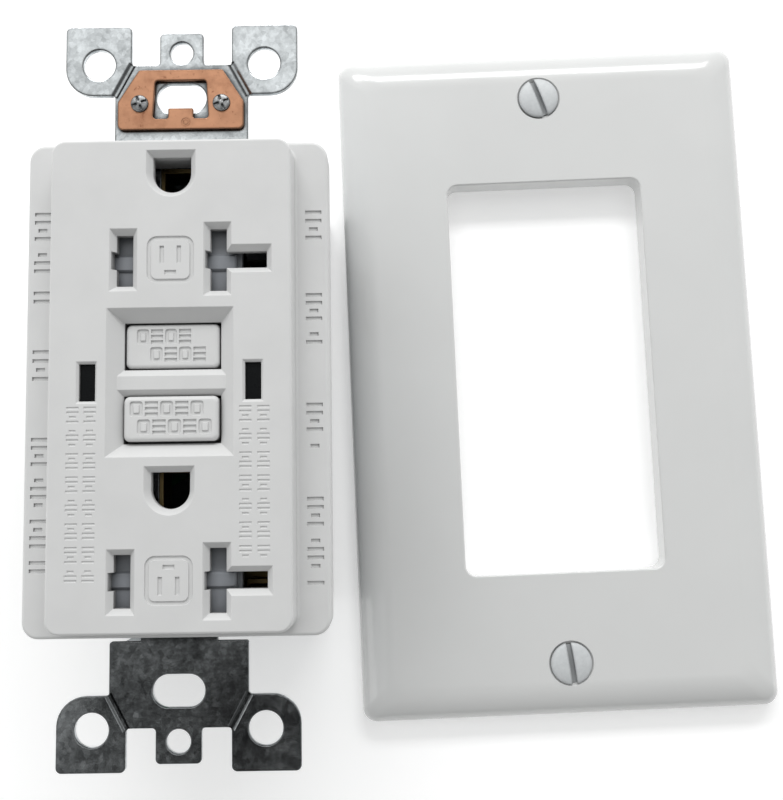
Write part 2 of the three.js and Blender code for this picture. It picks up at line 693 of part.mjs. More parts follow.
// The rail of one side: blade contacts of both receptacles, a fixed contact and the load terminal.
function contactBar(side) {
  const top = BAR_Z + SHEET;
  const leafTop = 30.5;
  const rail = box(side * 13.1, side * 15.6, -27.4, 21.5, BAR_Z, top);
  const bases = Object.values(RECEPTACLES).map((y) =>
    box(side * 4.95, side * 13.5, y - 4, y + 4, BAR_Z, top),
  );
  const leaves = Object.values(RECEPTACLES).flatMap((y) => bladeLeaves(side, y, top - 0.2, leafTop));
  const branch = box(side * 5.6, side * 13.5, 2.4, 5.2, BAR_Z, top);
  const fixedContact = rod("z", 1.3, 23, BAR_Z + 0.2, side * 7, 3.8, 14);
  const tab = box(side * 14.5, side * TERMINAL.outside, TERMINAL.y - 3, TERMINAL.y + 2.5, BAR_Z, top);
  return join(rail, ...bases, ...leaves, branch, fixedContact, tab, terminalPlate(side, TERMINAL.y, top));
}

// Upright spring leaves that grip a blade; the neutral side also grips a blade turned crosswise.
function bladeLeaves(side, y, bottom, top) {
  const leaf = 0.6;
  const gap = 0.8;
  const near = side * (BLADE_X - gap - leaf);
  const far = side * (BLADE_X + gap);
  const inner = box(near, near + side * leaf, y - 3.8, y + 3.8, bottom, top);
  if (side < 0) return [inner, box(far, far + side * leaf, y - 3.8, y + 3.8, bottom, top)];
  const ends = [-1, 1];
  const outer = ends.map((end) => box(far, far + leaf, y + end * 1.8, y + end * 3.8, bottom, top));
  const cross = ends.map((end) => box(8.6, 12.4, y + end * gap, y + end * (gap + leaf), bottom, top));
  return [inner, ...outer, ...cross];
}

function terminalPlate(side, y, top) {
  const { halfWidth, bottom, inside, outside, z } = TERMINAL;
  const plate = box(side * inside, side * outside, y - halfWidth, y + halfWidth, bottom, top);
  return cut(plate, rod("x", SCREW.clearance, side * (inside - 1), side * (outside + 1), y, z, 16));
}

// A line terminal: its conductor runs under the transformers, up through their bores and over to an arm.
function lineTerminal(side) {
  const y = -TERMINAL.y;
  const conductor = (x0, x1, z0, z1) => box(side * x0, side * x1, y - 2.5, y + 0.5, z0, z1);
  const foot = BOARD_Z.top + 0.2;
  const bridge = 18.6;
  return join(
    terminalPlate(side, y, TERMINAL.top),
    conductor(TERMINAL.inside, TERMINAL.outside, foot, 12),
    conductor(2.2, TERMINAL.outside, foot, foot + 0.8),
    conductor(2.2, 3, foot, bridge + 0.8),
    conductor(2.2, ARM.outer, bridge, bridge + 0.8),
    box(side * ARM.inner, side * ARM.outer, y - 2.5, -9.5, bridge, bridge + 0.8),
  );
}

// A moving arm with its contact button, free to swing up about its root.
function lineArm(side) {
  const leaf = box(side * ARM.inner, side * ARM.outer, -12.5, 5.2, ARM.z, ARM.z + 0.5);
  return join(leaf, rod("z", 1.3, ARM.z + 0.3, 21.6, side * 7, 3.8, 14));
}

// A terminal or ground screw along +Z, its head outwards at the origin's plane.
function binderScrew(shankLength) {
  const blank = toSolid(
    turned([
      [0, -shankLength],
      [SCREW.shank - 0.4, -shankLength],
      [SCREW.shank, -shankLength + 0.4],
      [SCREW.shank, 0],
      [SCREW.head, 0],
      [SCREW.head, 2],
      [SCREW.head - 0.5, 2.6],
      [0, 2.7],
    ]),
  );
  return cut(blank, block(0, 0, 9, 1.1, 1.6, 4));
}

function clampPlate() {
  const plate = block(0, 0, 8.4, 10, -0.6, 0.6);
  return cut(plate, rod("z", SCREW.clearance, -2, 2, 0, 0, 16));
}

// ---------------------------------------------------------------- trip mechanism and electronics

function contactCarrier() {
  const body = box(-9, 9, -8, 2, 15.5, 19);
  const wings = [-1, 1].map((side) => box(side * 5.6, side * 8.4, 0.2, 1.8, 18.5, 19.7));
  return cut(join(body, ...wings), rod("z", RESET.pinWay, 15, 20, 0, RESET.y));
}

// The latch slides under the carrier; its fork straddles the plunger's neck.
function latchPlate() {
  const plate = sheet(
    rectangle(8, 13, 0.5, 0, -2.5),
    [rectangle(3.4, 4.6, 1.6, 0, -5.5)],
    14.6,
    15.2,
  );
  const fork = cut(box(-3.2, 3.2, 3.2, 4, 9.9, 14.8), box(-1.45, 1.45, 3, 5, 9, 13.8));
  return join(plate, fork);
}

function resetPin() {
  return toSolid(
    turned(
      [
        [0, 12.5],
        [0.8, 12.5],
        [RESET.pin, 13.2],
        [RESET.pin, 14.2],
        [1, 14.4],
        [1, 15.4],
        [RESET.pin, 15.6],
        [RESET.pin, BUTTON.flangeBottom - 0.05],
        [0, BUTTON.flangeBottom - 0.05],
      ],
      14,
    ),
  ).translate([0, RESET.y, 0]);
}

function bobbin() {
  const { z, start, end } = SOLENOID;
  const flanges = [start, end - 1.2].map((y) => rod("y", 6.2, y, y + 1.2, 0, z, 20));
  const core = rod("y", 3.2, start, end, 0, z, 16);
  return cut(join(core, ...flanges), rod("y", 2.4, start - 1, end + 1, 0, z, 14));
}

function coil() {
  const { z, start, end } = SOLENOID;
  return cut(rod("y", 5.9, start + 1.3, end - 1.3, 0, z, 24), rod("y", 3.35, start, end, 0, z, 16));
}

// The plunger along +Y: nose, neck for the latch fork, spring collar and core.
function plunger() {
  const profile = [
    [0, 2],
    [2.1, 2],
    [2.1, 3],
    [1.2, 3],
    [1.2, 4.2],
    [3.1, 4.2],
    [3.1, 5],
    [2.1, 5],
    [2.1, 19],
    [0, 19],
  ];
  const geometry = aim(turned(profile, 14), "y");
  geometry.translate(0, 0, SOLENOID.z);
  return toSolid(geometry);
}

function testContact() {
  const leaf = box(-1.8, 1.8, 3.5, 14.5, 23.6, 24);
  const post = box(-1, 1, 13, 14.2, 23.8, 26);
  return join(leaf, post);
}

function circuitBoard() {
  const holes = boardScrewPlaces.map(([x, y]) => circle(0.9, x, y, 10));
  return sheet(rectangle(27, 54, 1), holes, BOARD_Z.bottom, BOARD_Z.top);
}

function transformerCore(bottom, top) {
  const ring = rod("z", CORE.outer, bottom, top, 0, CORE.y, 28);
  return cut(ring, rod("z", CORE.inner, bottom - 1, top + 1, 0, CORE.y, 20));
}

function varistor() {
  const disc = rod("x", 5, 9.7, 13.1, VARISTOR.y, VARISTOR.z, 18);
  const legs = [-2.5, 2.5].map((dy) => rod("z", 0.35, BOARD_Z.top + 0.05, 10, 11.4, VARISTOR.y + dy, 6));
  return join(disc, ...legs);
}

function led(side) {
  const x = side * WINDOW.x;
  const dome = toSolid(
    turned(
      [
        [0, 28],
        [1.9, 28],
        [1.9, 28.8],
        [1.5, 28.8],
        [1.5, 31],
        [1, 32],
        [0, 32.3],
      ],
      12,
    ),
  ).translate([x, 0, 0]);
  const leads = [-1.27, 1.27].map((dx) => rod("z", 0.3, BOARD_Z.top + 0.05, 28.4, x + dx, 0, 6));
  return join(dome, ...leads);
}

// ---------------------------------------------------------------- wall plate

// Levels of a shell whose edge rolls over in a quarter ellipse, from a wall into a flat front.
function rolledLevels({ inset, foot, wallTop, roll, rise, corner }) {
  const size = (extra) =>
    rectangle(PLATE_SIZE.width - 2 * (inset + extra), PLATE_SIZE.length - 2 * (inset + extra), corner);
  const steps = 5;
  const arc = Array.from({ length: steps + 1 }, (_, i) => {
    const angle = (Math.PI / 2) * (i / steps);
    return [wallTop + rise * Math.sin(angle), size(roll * (1 - Math.cos(angle)))];
  });
  return [[foot, size(0)], ...arc];
}

function wallPlate() {
  const { height, roll, skin, corner } = PLATE;
  const wallTop = 2;
  const front = loft(
    rolledLevels({ inset: 0, foot: 0, wallTop, roll, rise: height - wallTop, corner }),
  );
  const innerWallTop = 1.2;
  const hollow = loft(
    rolledLevels({
      inset: skin,
      foot: -1,
      wallTop: innerWallTop,
      roll: roll - 1,
      rise: height - skin - innerWallTop,
      corner: 1,
    }),
  );
  const { width, length, corner: openingCorner } = PLATE_OPENING;
  const collar = sheet(rectangle(width + 2.6, length + 2.6, openingCorner + 1), [], 1.4, height - 0.5);
  const opening = sheet(rectangle(width, length, openingCorner), [], -1, height + 1);
  const screwEnds = [1, -1].map((end) => (end * PLATE_SCREW_SPACING) / 2);
  const bosses = screwEnds.map((y) => rod("z", 4.2, 1.4, height - 0.5, 0, y, 20));
  const screwHoles = screwEnds.map((y) => rod("z", 1.95, -1, 7, 0, y, 16));
  const countersinks = screwEnds.map((y) =>
    toSolid(
      turned([
        [0, 3.6],
        [1.95, 3.6],
        [4.05, 5.7],
        [4.05, 8],
        [0, 8],
      ]),
    ).translate([0, y, 0]),
  );
  return cut(join(cut(front, hollow), collar, ...bosses), opening, ...screwHoles, ...countersinks);
}

// An oval-head screw along +Z in the wall plate's own heights, short enough to lie inside the plate.
function plateScrew() {
  const blank = toSolid(
    turned([
      [0, 0.3],
      [1.1, 0.3],
      [1.5, 0.8],
      [1.5, 3.6],
      [3.45, 5.5],
      [2.9, 5.95],
      [1.8, 6.2],
      [0, 6.3],
    ]),
  );
  return cut(blank, block(0, 0, 1.05, 9, 5.1, 7));
}

// ---------------------------------------------------------------- assembly

const device = new THREE.Group();

function add(name, shape, finish, parent = device) {
  const geometry = shape.isBufferGeometry ? shape : toGeometry(shape);
  const mesh = new THREE.Mesh(geometry, new THREE.MeshStandardMaterial(FINISH[finish]));
  mesh.name = name;
  parent.add(mesh);
  return mesh;
}

add("front_cover", frontCover(), "whiteResin");
add("test_button", button(TEST), "whiteResin");
add("reset_button", button(RESET), "whiteResin");
add("left_window", lightPipe(-1), "smokedLens");
add("right_window", lightPipe(1), "smokedLens");

for (const [place, bladeLine] of Object.entries(RECEPTACLES)) {
  add(`${place}_shutter`, shutter(bladeLine), "greyResin");
  add(`${place}_shutter_spring`, shutterSpring(bladeLine), "spring");
  add(`${place}_ground_contact`, groundContact(bladeLine), "brass");
}

add("mounting_strap", mountingStrap(), "galvanised");
add("ground_clip", groundClip(), "copper");
for (const [place, side] of [["left", -1], ["right", 1]]) {
  const rivet = add(`clip_rivet_${place}`, rivetGeometry(), "galvanised");
  rivet.position.set(side * RIVET.x, RIVET.y, STRAP_FRONT + 0.05);
}

add("middle_frame", middleFrame(), "greyResin");
add("rear_cover", rearCover(), "greyResin");
for (const { name, x, y } of bossPlaces) {
  add(`housing_screw_${name}`, housingScrew(), "nickel").position.set(x, y, 0);
}

const circuits = [
  { name: "hot", side: -1, metal: "brass" },
  { name: "neutral", side: 1, metal: "nickel" },
];
for (const { name, side, metal } of circuits) {
  add(`${name}_contact_bar`, contactBar(side), "brass");
  add(`line_${name}_terminal`, lineTerminal(side), "brass");
  add(`line_${name}_arm`, lineArm(side), "copper");
  for (const [end, y] of [["line", -TERMINAL.y], ["load", TERMINAL.y]]) {
    const terminal = new THREE.Group();
    terminal.position.set(side * TERMINAL.outside, y, TERMINAL.z);
    terminal.rotation.y = (side * Math.PI) / 2;
    device.add(terminal);
    const screw = add(`${end}_${name}_screw`, binderScrew(6.3), metal, terminal);
    screw.position.z = 0.3;
    screw.rotation.z = 0.4;
    add(`${end}_${name}_clamp`, clampPlate(), "galvanised", terminal).position.z = -2.7;
  }
}

const groundScrew = add("ground_screw", binderScrew(2.6), "greenScrew");
groundScrew.position.set(GROUND_TAB.x, GROUND_TAB.tabBack - 0.15, GROUND_TAB.z);
groundScrew.rotation.x = Math.PI / 2;

add("contact_carrier", contactCarrier(), "darkResin");
add("latch_plate", latchPlate(), "galvanised");
add("reset_pin", resetPin(), "nickel");
const [seat, cap] = [RESET.springSeat + 0.15, BUTTON.flangeBottom - 0.1];
const resetSpring = coilSpring("z", seat, cap, 2.7, 0.35, 6, [0, RESET.y, 0]);
add("reset_spring", resetSpring, "spring");
add("solenoid_bobbin", bobbin(), "darkResin");
add("solenoid_coil", coil(), "windings");
add("plunger", plunger(), "nickel");
const plungerSpring = coilSpring("y", 5.05, SOLENOID.start - 0.05, 2.75, 0.25, 3, [0, 0, SOLENOID.z]);
add("plunger_spring", plungerSpring, "spring");
add("test_contact", testContact(), "copper");
add("circuit_board", circuitBoard(), "board");
add("sense_transformer", transformerCore(7.6, 12.2), "ferrite");
add("ground_transformer", transformerCore(13.2, 17.6), "ferrite");
add("varistor", varistor(), "varistorBlue");
add("left_led", led(-1), "ledBody");
add("right_led", led(1), "ledBody");

const looseCover = new THREE.Group();
looseCover.position.set(PLATE.x, PLATE.y, 0);
looseCover.rotation.z = PLATE.turn;
device.add(looseCover);
add("wall_plate", wallPlate(), "glossWhite", looseCover);
for (const [place, end, slotAngle] of [["upper", 1, 0.33], ["lower", -1, 0.11]]) {
  const screw = add(`plate_screw_${place}`, plateScrew(), "nickel", looseCover);
  screw.position.y = (end * PLATE_SCREW_SPACING) / 2;
  screw.rotation.z = slotAngle;
}

export default device;
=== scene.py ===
"""Looks of a ground-fault receptacle and its loose wall plate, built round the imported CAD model.

Shapes are written in millimetres in the part's own frame: +X right, +Y to the top end, +Z out of the face.
"""

import json
from math import atan2, cos, pi, radians, sin, sqrt, tan

import bpy
from mathutils import Matrix, Vector

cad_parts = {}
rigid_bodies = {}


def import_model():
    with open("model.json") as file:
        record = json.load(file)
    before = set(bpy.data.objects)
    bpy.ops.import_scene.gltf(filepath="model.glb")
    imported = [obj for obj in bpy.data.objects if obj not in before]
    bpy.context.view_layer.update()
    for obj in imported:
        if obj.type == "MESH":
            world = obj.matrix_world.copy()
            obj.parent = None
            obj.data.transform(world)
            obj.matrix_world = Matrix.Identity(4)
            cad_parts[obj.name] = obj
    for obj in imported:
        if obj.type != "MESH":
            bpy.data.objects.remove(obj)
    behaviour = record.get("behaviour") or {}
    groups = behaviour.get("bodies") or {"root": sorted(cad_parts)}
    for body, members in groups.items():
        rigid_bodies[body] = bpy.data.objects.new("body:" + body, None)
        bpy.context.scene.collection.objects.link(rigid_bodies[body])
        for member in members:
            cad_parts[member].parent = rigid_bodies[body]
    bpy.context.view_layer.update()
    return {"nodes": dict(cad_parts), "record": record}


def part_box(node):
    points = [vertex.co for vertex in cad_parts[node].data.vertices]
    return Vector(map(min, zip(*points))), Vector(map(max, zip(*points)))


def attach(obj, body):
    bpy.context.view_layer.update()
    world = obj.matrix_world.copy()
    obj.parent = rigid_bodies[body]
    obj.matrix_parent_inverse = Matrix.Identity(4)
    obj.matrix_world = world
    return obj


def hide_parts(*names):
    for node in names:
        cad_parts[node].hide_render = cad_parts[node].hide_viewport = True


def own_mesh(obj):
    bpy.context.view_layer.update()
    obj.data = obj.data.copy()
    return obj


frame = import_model()
RECORD = frame["record"]
BODY_OF = {node: body for body, nodes in RECORD["behaviour"]["bodies"].items() for node in nodes}
SLOT_OF = {part["node"]: part["material_slot"] for part in RECORD["subparts"]}

# ---------------- sizes, in millimetres

MM = 0.001

# How far a cutting tool reaches past the surface it cuts.
BEYOND = 0.2

# Heights above the bench.
SHELL_SPLIT = 32.5
STRAP_THICKNESS = 1
STRAP_FRONT = 35.7
STRAP_BACK = STRAP_FRONT - STRAP_THICKNESS
SHOULDER_TOP = 37.7
FACE_TOP = 42.5

HOUSING = {"width": 42, "length": 68.6, "corner": 2.3}
FACE = {"width": 32.56, "length": 66.45, "corner": 1.9}
WALL = 2
UNDER_COVER = 30
BOSS = {"radius": 2.2, "top": 36.5, "bore": 1.15, "bore_top": 35.9}
FACE_THICKNESS = 2.2
REAR = {"bottom_width": 38.2, "top_width": 41, "length": 67.6, "corner": 2}
REAR_ROOM = {"width": 34.4, "length": 63.6}
REAR_WINDOW = {"width": 10.4, "height": 13, "flare": 0.6, "side_face": 19.7}
BOSSES = [(x * 16.2, y * 30.2) for x in (1, -1) for y in (1, -1)]
BOARD_POSTS = [(x * 0.75, y * 0.8) for x, y in BOSSES]

# Openings of each receptacle, about its blade line.
BLADE_X = 12.7 / 2
BLADE_LINES = {"upper": 16.6, "lower": -26.4}
GROUND_ABOVE_BLADES = 11.9
HOT_SLOT = {"width": 2.2, "length": 7}
SLOT_NOTCH = {"width": 1.2, "length": 2.4, "bottom": FACE_TOP - 5, "top": FACE_TOP - 0.25}
OPENING_BOTTOM = FACE_TOP - 5.2
NEUTRAL_SLOT = {"side": 1.1, "end": 4.25, "leg": 1.12, "leg_end": 6.55}
GROUND_HOLE = {"half": 2.58, "flat": 2.45, "arc_centre": 0.13}
BEVEL_DEPTH = 1
BEVEL_WIDTH = 0.8

# Field round the buttons.
RECESS = {"width": 17.1, "length": 20, "floor_width": 13.1, "floor_length": 16.4, "floor": 40.5}
BRIDGE = {"top": 41.3, "half_top": 0.93, "half_base": 1.8}
BUTTON = {"width": 12.8, "length": 6.1, "flange_width": 15.2, "flange_length": 7, "flange_top": 38}
WINDOW = {"x": 11.1, "width": 2.15, "length": 5}

# Strap, clip and their holes.
STRAP = {"half": 9.55, "inner_half": 13.6, "inner_end": 31.8, "ear_in": 7.2, "ear_out": 16.7}
STRAP_ENDS = {"ear_start": 42.25, "ear_end": 52.5, "shoulder": 46.65, "tab_half": 3.15, "tab_end": 51.4}
EAR_HOLE = {"x": 11.87, "y": 46.79, "radius": 2.33}
BOX_SCREW_Y = 83.34 / 2
PLATE_SCREW_Y = 96.84 / 2
RIVET = {"x": 5.85, "y": 40.7, "head": 1.25, "shank": 0.8}
CLIP_BACK = STRAP_FRONT + 0.05
CLIP_FRONT = CLIP_BACK + 0.6

TERMINAL = {"y": 19, "z": 17, "outside": 17}
GROUND_TAB = {"x": -5, "z": 29.8, "half_width": 4, "bottom": 25.6, "back": -36.8, "front": -35.8}
SCREW_HEAD = 3.9

# Wall plate, in its own frame, and where that frame lies on the bench.
PLATE = {"width": 69.85, "length": 114.3, "height": 5.6, "roll": 6, "skin": 1.9, "corner": 2.4}
PLATE_OPENING = {"width": 33.4, "length": 66.9, "corner": 1.8}
PLATE_PLACE = Matrix.Translation((57.37, 4.58, 0)) @ Matrix.Rotation(0.029, 4, "Z")

# ---------------- placing and outlines


def at(x, y, z):
    return Matrix.Translation((x, y, z))


def spin(angle, axis="Z"):
    return Matrix.Rotation(angle, 4, axis)


def rounded(corners, steps=8):
    """Outline through anticlockwise (x, y, radius) corners; a radius turns its corner into an arc."""
    points = []
    for i, (x, y, radius) in enumerate(corners):
        here = Vector((x, y))
        if radius <= 0:
            points.append(here)
            continue
        back = (Vector(corners[i - 1][:2]) - here).normalized()
        ahead = (Vector(corners[(i + 1) % len(corners)][:2]) - here).normalized()
        half = back.angle(ahead) / 2
        centre = here + (back + ahead).normalized() * radius / sin(half)
        start = here + back * radius / tan(half) - centre
        end = here + ahead * radius / tan(half) - centre
        sweep = atan2(start.cross(end), start.dot(end))
        for step in range(steps + 1):
            points.append(centre + Matrix.Rotation(sweep * step / steps, 2) @ start)
    return points


def rectangle(width, length, corner=0.0, x=0.0, y=0.0, steps=8):
    w, l = width / 2, length / 2
    signs = [(-1, -1), (1, -1), (1, 1), (-1, 1)]
    return rounded([(x + sx * w, y + sy * l, corner) for sx, sy in signs], steps)


def circle(radius, x=0.0, y=0.0, sides=48):
    angles = [2 * pi * i / sides for i in range(sides)]
    return [Vector((x + radius * cos(a), y + radius * sin(a))) for a in angles]


def shifted(points, x, y):
    return [p + Vector((x, y)) for p in points]


def grown(points, distance):
    """An anticlockwise outline moved outwards by distance, or inwards where it is negative."""
    moved_points = []
    for i, here in enumerate(points):
        before = (here - points[i - 1]).normalized()
        after = (points[(i + 1) % len(points)] - here).normalized()
        normal_before, normal_after = Vector((before.y, -before.x)), Vector((after.y, -after.x))
        mitre = (normal_before + normal_after) / (1 + normal_before.dot(normal_after))
        moved_points.append(here + mitre * distance)
    return moved_points


def growing(width, length, corner=0.0, x=0.0, y=0.0, steps=8):
    """A rectangle as a function of how far it has grown on every side."""
    def outline(grow):
        return rectangle(width + 2 * grow, length + 2 * grow, corner + grow if corner else 0, x, y, steps)
    return outline


def quarter(steps):
    """(sine, 1 - cosine) pairs over a quarter turn, for rounding a rim."""
    angles = [pi / 2 * i / steps for i in range(steps + 1)]
    return [(sin(a), 1 - cos(a)) for a in angles]


# ---------------- solids


def add_object(name, data):
    obj = bpy.data.objects.new(name, data)
    bpy.context.scene.collection.objects.link(obj)
    return obj


def solid(points, faces):
    """A mesh object from points in millimetres."""
    mesh = bpy.data.meshes.new("tool")
    mesh.from_pydata([Vector(p) * MM for p in points], [], faces)
    return add_object("tool", mesh)


def band(start, end, count):
    """Faces between two rings of count points, from the places of their first points."""
    pairs = [(i, (i + 1) % count) for i in range(count)]
    return [(start + i, start + j, end + j, end + i) for i, j in pairs]


def tube(rings, count):
    """Faces along a number of rings of points."""
    return [face for ring in range(rings - 1) for face in band(ring * count, (ring + 1) * count, count)]


def loft(levels):
    """A closed body through (height, outline) levels of equal point counts, lowest first."""
    count = len(levels[0][1])
    points = [(p.x, p.y, z) for z, outline in levels for p in outline]
    bottom, top = range(count), range(len(points) - count, len(points))
    return solid(points, [tuple(reversed(bottom)), *tube(len(levels), count), tuple(top)])


def stack(levels, outline_at):
    """A body through (height, growth) levels of one outline, lowest first."""
    return loft([(z, outline_at(grow)) for z, grow in levels])


def soft_rim(top, radius, steps):
    """(height, growth) levels that round a rim inwards up to a top."""
    return [(top - radius * (1 - s), -radius * c) for s, c in quarter(steps)]


def prism(outline, z0, z1):
    return loft([(z0, outline), (z1, outline)])


def box(x0, x1, y0, y1, z0, z1):
    xs, ys, zs = sorted((x0, x1)), sorted((y0, y1)), sorted((z0, z1))
    corners = [Vector((xs[i], ys[j])) for i, j in ((0, 0), (1, 0), (1, 1), (0, 1))]
    return prism(corners, *zs)


def block(x, y, width, length, z0, z1):
    return box(x - width / 2, x + width / 2, y - length / 2, y + length / 2, z0, z1)


def turned(profile, sides=48):
    """A body turned about the Z axis from (radius, height) pairs that run from axis to axis, upwards."""
    rings = [(r, z) for r, z in profile if r > 0]
    points = [(r * p.x, r * p.y, z) for r, z in rings for p in circle(1, sides=sides)]
    last = len(points) - sides
    bottom, top = len(points), len(points) + 1
    points += [(0, 0, profile[0][1]), (0, 0, profile[-1][1])]
    pairs = [(i, (i + 1) % sides) for i in range(sides)]
    caps = [(j, i, bottom) for i, j in pairs] + [(last + i, last + j, top) for i, j in pairs]
    return solid(points, tube(len(rings), sides) + caps)


def eased_sheet(edge, holes, back, front, rim):
    """A flat sheet whose edge and holes have rounded rims."""
    rims = [(back + rim * c, -rim * (1 - s)) for s, c in quarter(3)] + soft_rim(front, rim, 3)
    plate = loft([(z, grown(edge, grow)) for z, grow in rims])
    levels = [(back - 0.5, -rim), *rims, (front + 0.5, -rim)]
    tools = [loft([(z, grown(hole, -grow)) for z, grow in levels]) for hole in holes]
    return cut(plate, merge(tools))


AIM = {"x": spin(pi / 2, "Y"), "y": spin(-pi / 2, "X"), "z": Matrix.Identity(4)}


def along(axis, a, b):
    """The frame whose Z runs along an axis, centred at (a, b) on the other two axes."""
    centre = {"x": (0, a, b), "y": (a, 0, b), "z": (a, b, 0)}[axis]
    return Matrix.Translation(centre) @ AIM[axis]


def rod(axis, radius, start, end, a=0.0, b=0.0, sides=48):
    """A round bar along an axis, centred at (a, b) on the other two axes."""
    bar = turned([(0, start), (radius, start), (radius, end), (0, end)], sides)
    return move(bar, along(axis, a, b))


def move(obj, matrix):
    """Transforms the mesh by a matrix whose shift is in millimetres."""
    metres = Matrix.Translation(matrix.translation * (MM - 1)) @ matrix
    obj.data.transform(metres)
    return obj


def shift(obj, x=0.0, y=0.0):
    return move(obj, at(x, y, 0))


def merge(objects):
    """One object from separate ones that don't touch."""
    points, faces = [], []
    for obj in objects:
        base = len(points)
        points += [vertex.co / MM for vertex in obj.data.vertices]
        faces += [tuple(base + i for i in face.vertices) for face in obj.data.polygons]
    bpy.data.batch_remove(objects)
    return solid(points, faces)


def bake(obj):
    """Applies the modifiers of an object to its mesh."""
    evaluated = obj.evaluated_get(bpy.context.evaluated_depsgraph_get())
    mesh = bpy.data.meshes.new_from_object(evaluated)
    obj.modifiers.clear()
    obj.data = mesh
    return obj


def combine(target, tools, operation):
    for tool in tools:
        modifier = target.modifiers.new("combine", "BOOLEAN")
        modifier.operation = operation
        modifier.solver = "MANIFOLD"
        modifier.object = tool
    bake(target)
    bpy.data.batch_remove(tools)
    return target


def join(target, *tools):
    return combine(target, tools, "UNION")


def cut(target, *tools):
    return combine(target, tools, "DIFFERENCE")


def merge_flats(obj, degrees):
    """Joins faces that lie within an angle of one plane."""
    flat = obj.modifiers.new("flat faces", "DECIMATE")
    flat.decimate_type = "DISSOLVE"
    flat.angle_limit = radians(degrees)


def round_edges(obj, width, clamp):
    """Bevels every edge sharper than 32 degrees."""
    bevel = obj.modifiers.new("ease", "BEVEL")
    bevel.width = width * MM
    bevel.segments = 2
    bevel.limit_method = "ANGLE"
    bevel.angle_limit = radians(32)
    bevel.use_clamp_overlap = clamp


def ease(obj, width, split=True):
    """Rounds the edges; well-shaped triangles in place of large outlines keep faces from folding over."""
    if split:
        merge_flats(obj, 0.5)
        triangles = obj.modifiers.new("triangles", "TRIANGULATE")
        triangles.quad_method = "BEAUTY"
        triangles.ngon_method = "BEAUTY"
    round_edges(obj, width, clamp=False)
    return bake(obj)


def sweep(path, radius, sides=10):
    """A round wire along a path of points, closed at both ends."""
    points = []
    normal = (path[1] - path[0]).normalized().orthogonal().normalized()
    for before, here, after in zip([path[0], *path], path, [*path[1:], path[-1]]):
        ahead = (after - before).normalized()
        normal = (normal - ahead * normal.dot(ahead)).normalized()
        side = ahead.cross(normal)
        points += [here + (normal * p.x + side * p.y) * radius for p in circle(1, sides=sides)]
    start, end = range(sides), range(len(points) - sides, len(points))
    return solid(points, [*tube(len(path), sides), tuple(reversed(start)), tuple(end)])


# ---------------- procedural finishes


class NodeTree:
    """Short calls for building a node tree; lengths are in millimetres."""

    def __init__(self, tree):
        self.tree = tree

    def put(self, socket, value):
        """Links an input to an output, or gives it a value."""
        if isinstance(value, bpy.types.NodeSocket):
            self.tree.links.new(value, socket)
        elif socket.type == "RGBA":
            socket.default_value = (*value, 1)
        else:
            socket.default_value = value

    def add(self, kind, inputs, output=0, **settings):
        """Adds a node, fills its inputs and returns one of its outputs."""
        made = self.tree.nodes.new("ShaderNode" + kind)
        for key, value in settings.items():
            setattr(made, key, value)
        for key, value in inputs.items():
            self.put(made.inputs[key], value)
        return made.outputs[output]

    def spread(self, value, low=0, high=1, start=0.3, end=0.7, curve="LINEAR"):
        """Takes start..end of a value to low..high."""
        inputs = {"Value": value, "From Min": start, "From Max": end, "To Min": low, "To Max": high}
        return self.add("MapRange", inputs, interpolation_type=curve)

    def multiply(self, first, second):
        return self.add("Math", {0: first, 1: second}, operation="MULTIPLY")

    def dot(self, first, second):
        return self.add("VectorMath", {0: first, 1: second}, "Value", operation="DOT_PRODUCT")


class Finish(NodeTree):
    """A material round one Principled shader, patterned by places in the part's frame."""

    def __init__(self):
        self.material = bpy.data.materials.new("finish")
        self.material.use_nodes = True
        super().__init__(self.material.node_tree)
        self.shader = self.tree.nodes["Principled BSDF"]
        self.place = self.add("TexCoord", {}, "Object")

    def set(self, name, value):
        self.put(self.shader.inputs[name], value)

    def pattern(self, size, stretch):
        """Place and scale inputs of a texture about size millimetres across."""
        place = self.add("Mapping", {"Vector": self.place, "Scale": stretch})
        return {"Vector": place, "Scale": 1 / (size * MM)}

    def noise(self, size, detail=3.0, stretch=(1, 1, 1), rough=0.55):
        """Clouds from 0 to 1."""
        inputs = {**self.pattern(size, stretch), "Detail": detail, "Roughness": rough}
        return self.add("TexNoise", inputs, "Fac")

    def cells(self, size, stretch=(1, 1, 1), output="Color"):
        """Crystal-like cells."""
        return self.add("TexVoronoi", self.pattern(size, stretch), output)

    def mix(self, factor, first, second):
        return self.add("Mix", {"Factor": factor, 6: first, 7: second}, 2, data_type="RGBA")

    def bump(self, height, depth):
        """Fine relief; calls stack."""
        inputs = {"Distance": depth * MM, "Height": height}
        earlier = self.shader.inputs["Normal"].links
        if earlier:
            inputs["Normal"] = earlier[0].from_socket
        self.set("Normal", self.add("Bump", inputs))

    def rounded_normal(self, reach):
        return self.add("Bevel", {"Radius": reach * MM}, samples=6)

    def edges(self, reach):
        """0 on flats, towards 1 within reach of an edge."""
        flat = self.add("NewGeometry", {}, "True Normal")
        return self.spread(self.dot(self.rounded_normal(reach), flat), 1, 0, 0.9, 0.996)

    def sheet_rims(self, reach):
        """For a level sheet: 0 on its faces and walls, 1 half-way round a rim or down a crease."""
        height = self.add("SeparateXYZ", {0: self.rounded_normal(reach)}, "Z")
        upright = self.add("Math", {0: height}, operation="ABSOLUTE")
        off_face = self.spread(upright, 0, 1, 0.985, 0.87)
        off_wall = self.spread(upright, 0, 1, 0.1, 0.4)
        return self.multiply(off_face, off_wall)

    def crevice(self, reach):
        """1 in the open, towards 0 in corners closer than reach."""
        return self.add("AmbientOcclusion", {"Distance": reach * MM}, "AO", samples=8)


def darker(colour, share):
    return [c * share for c in colour]


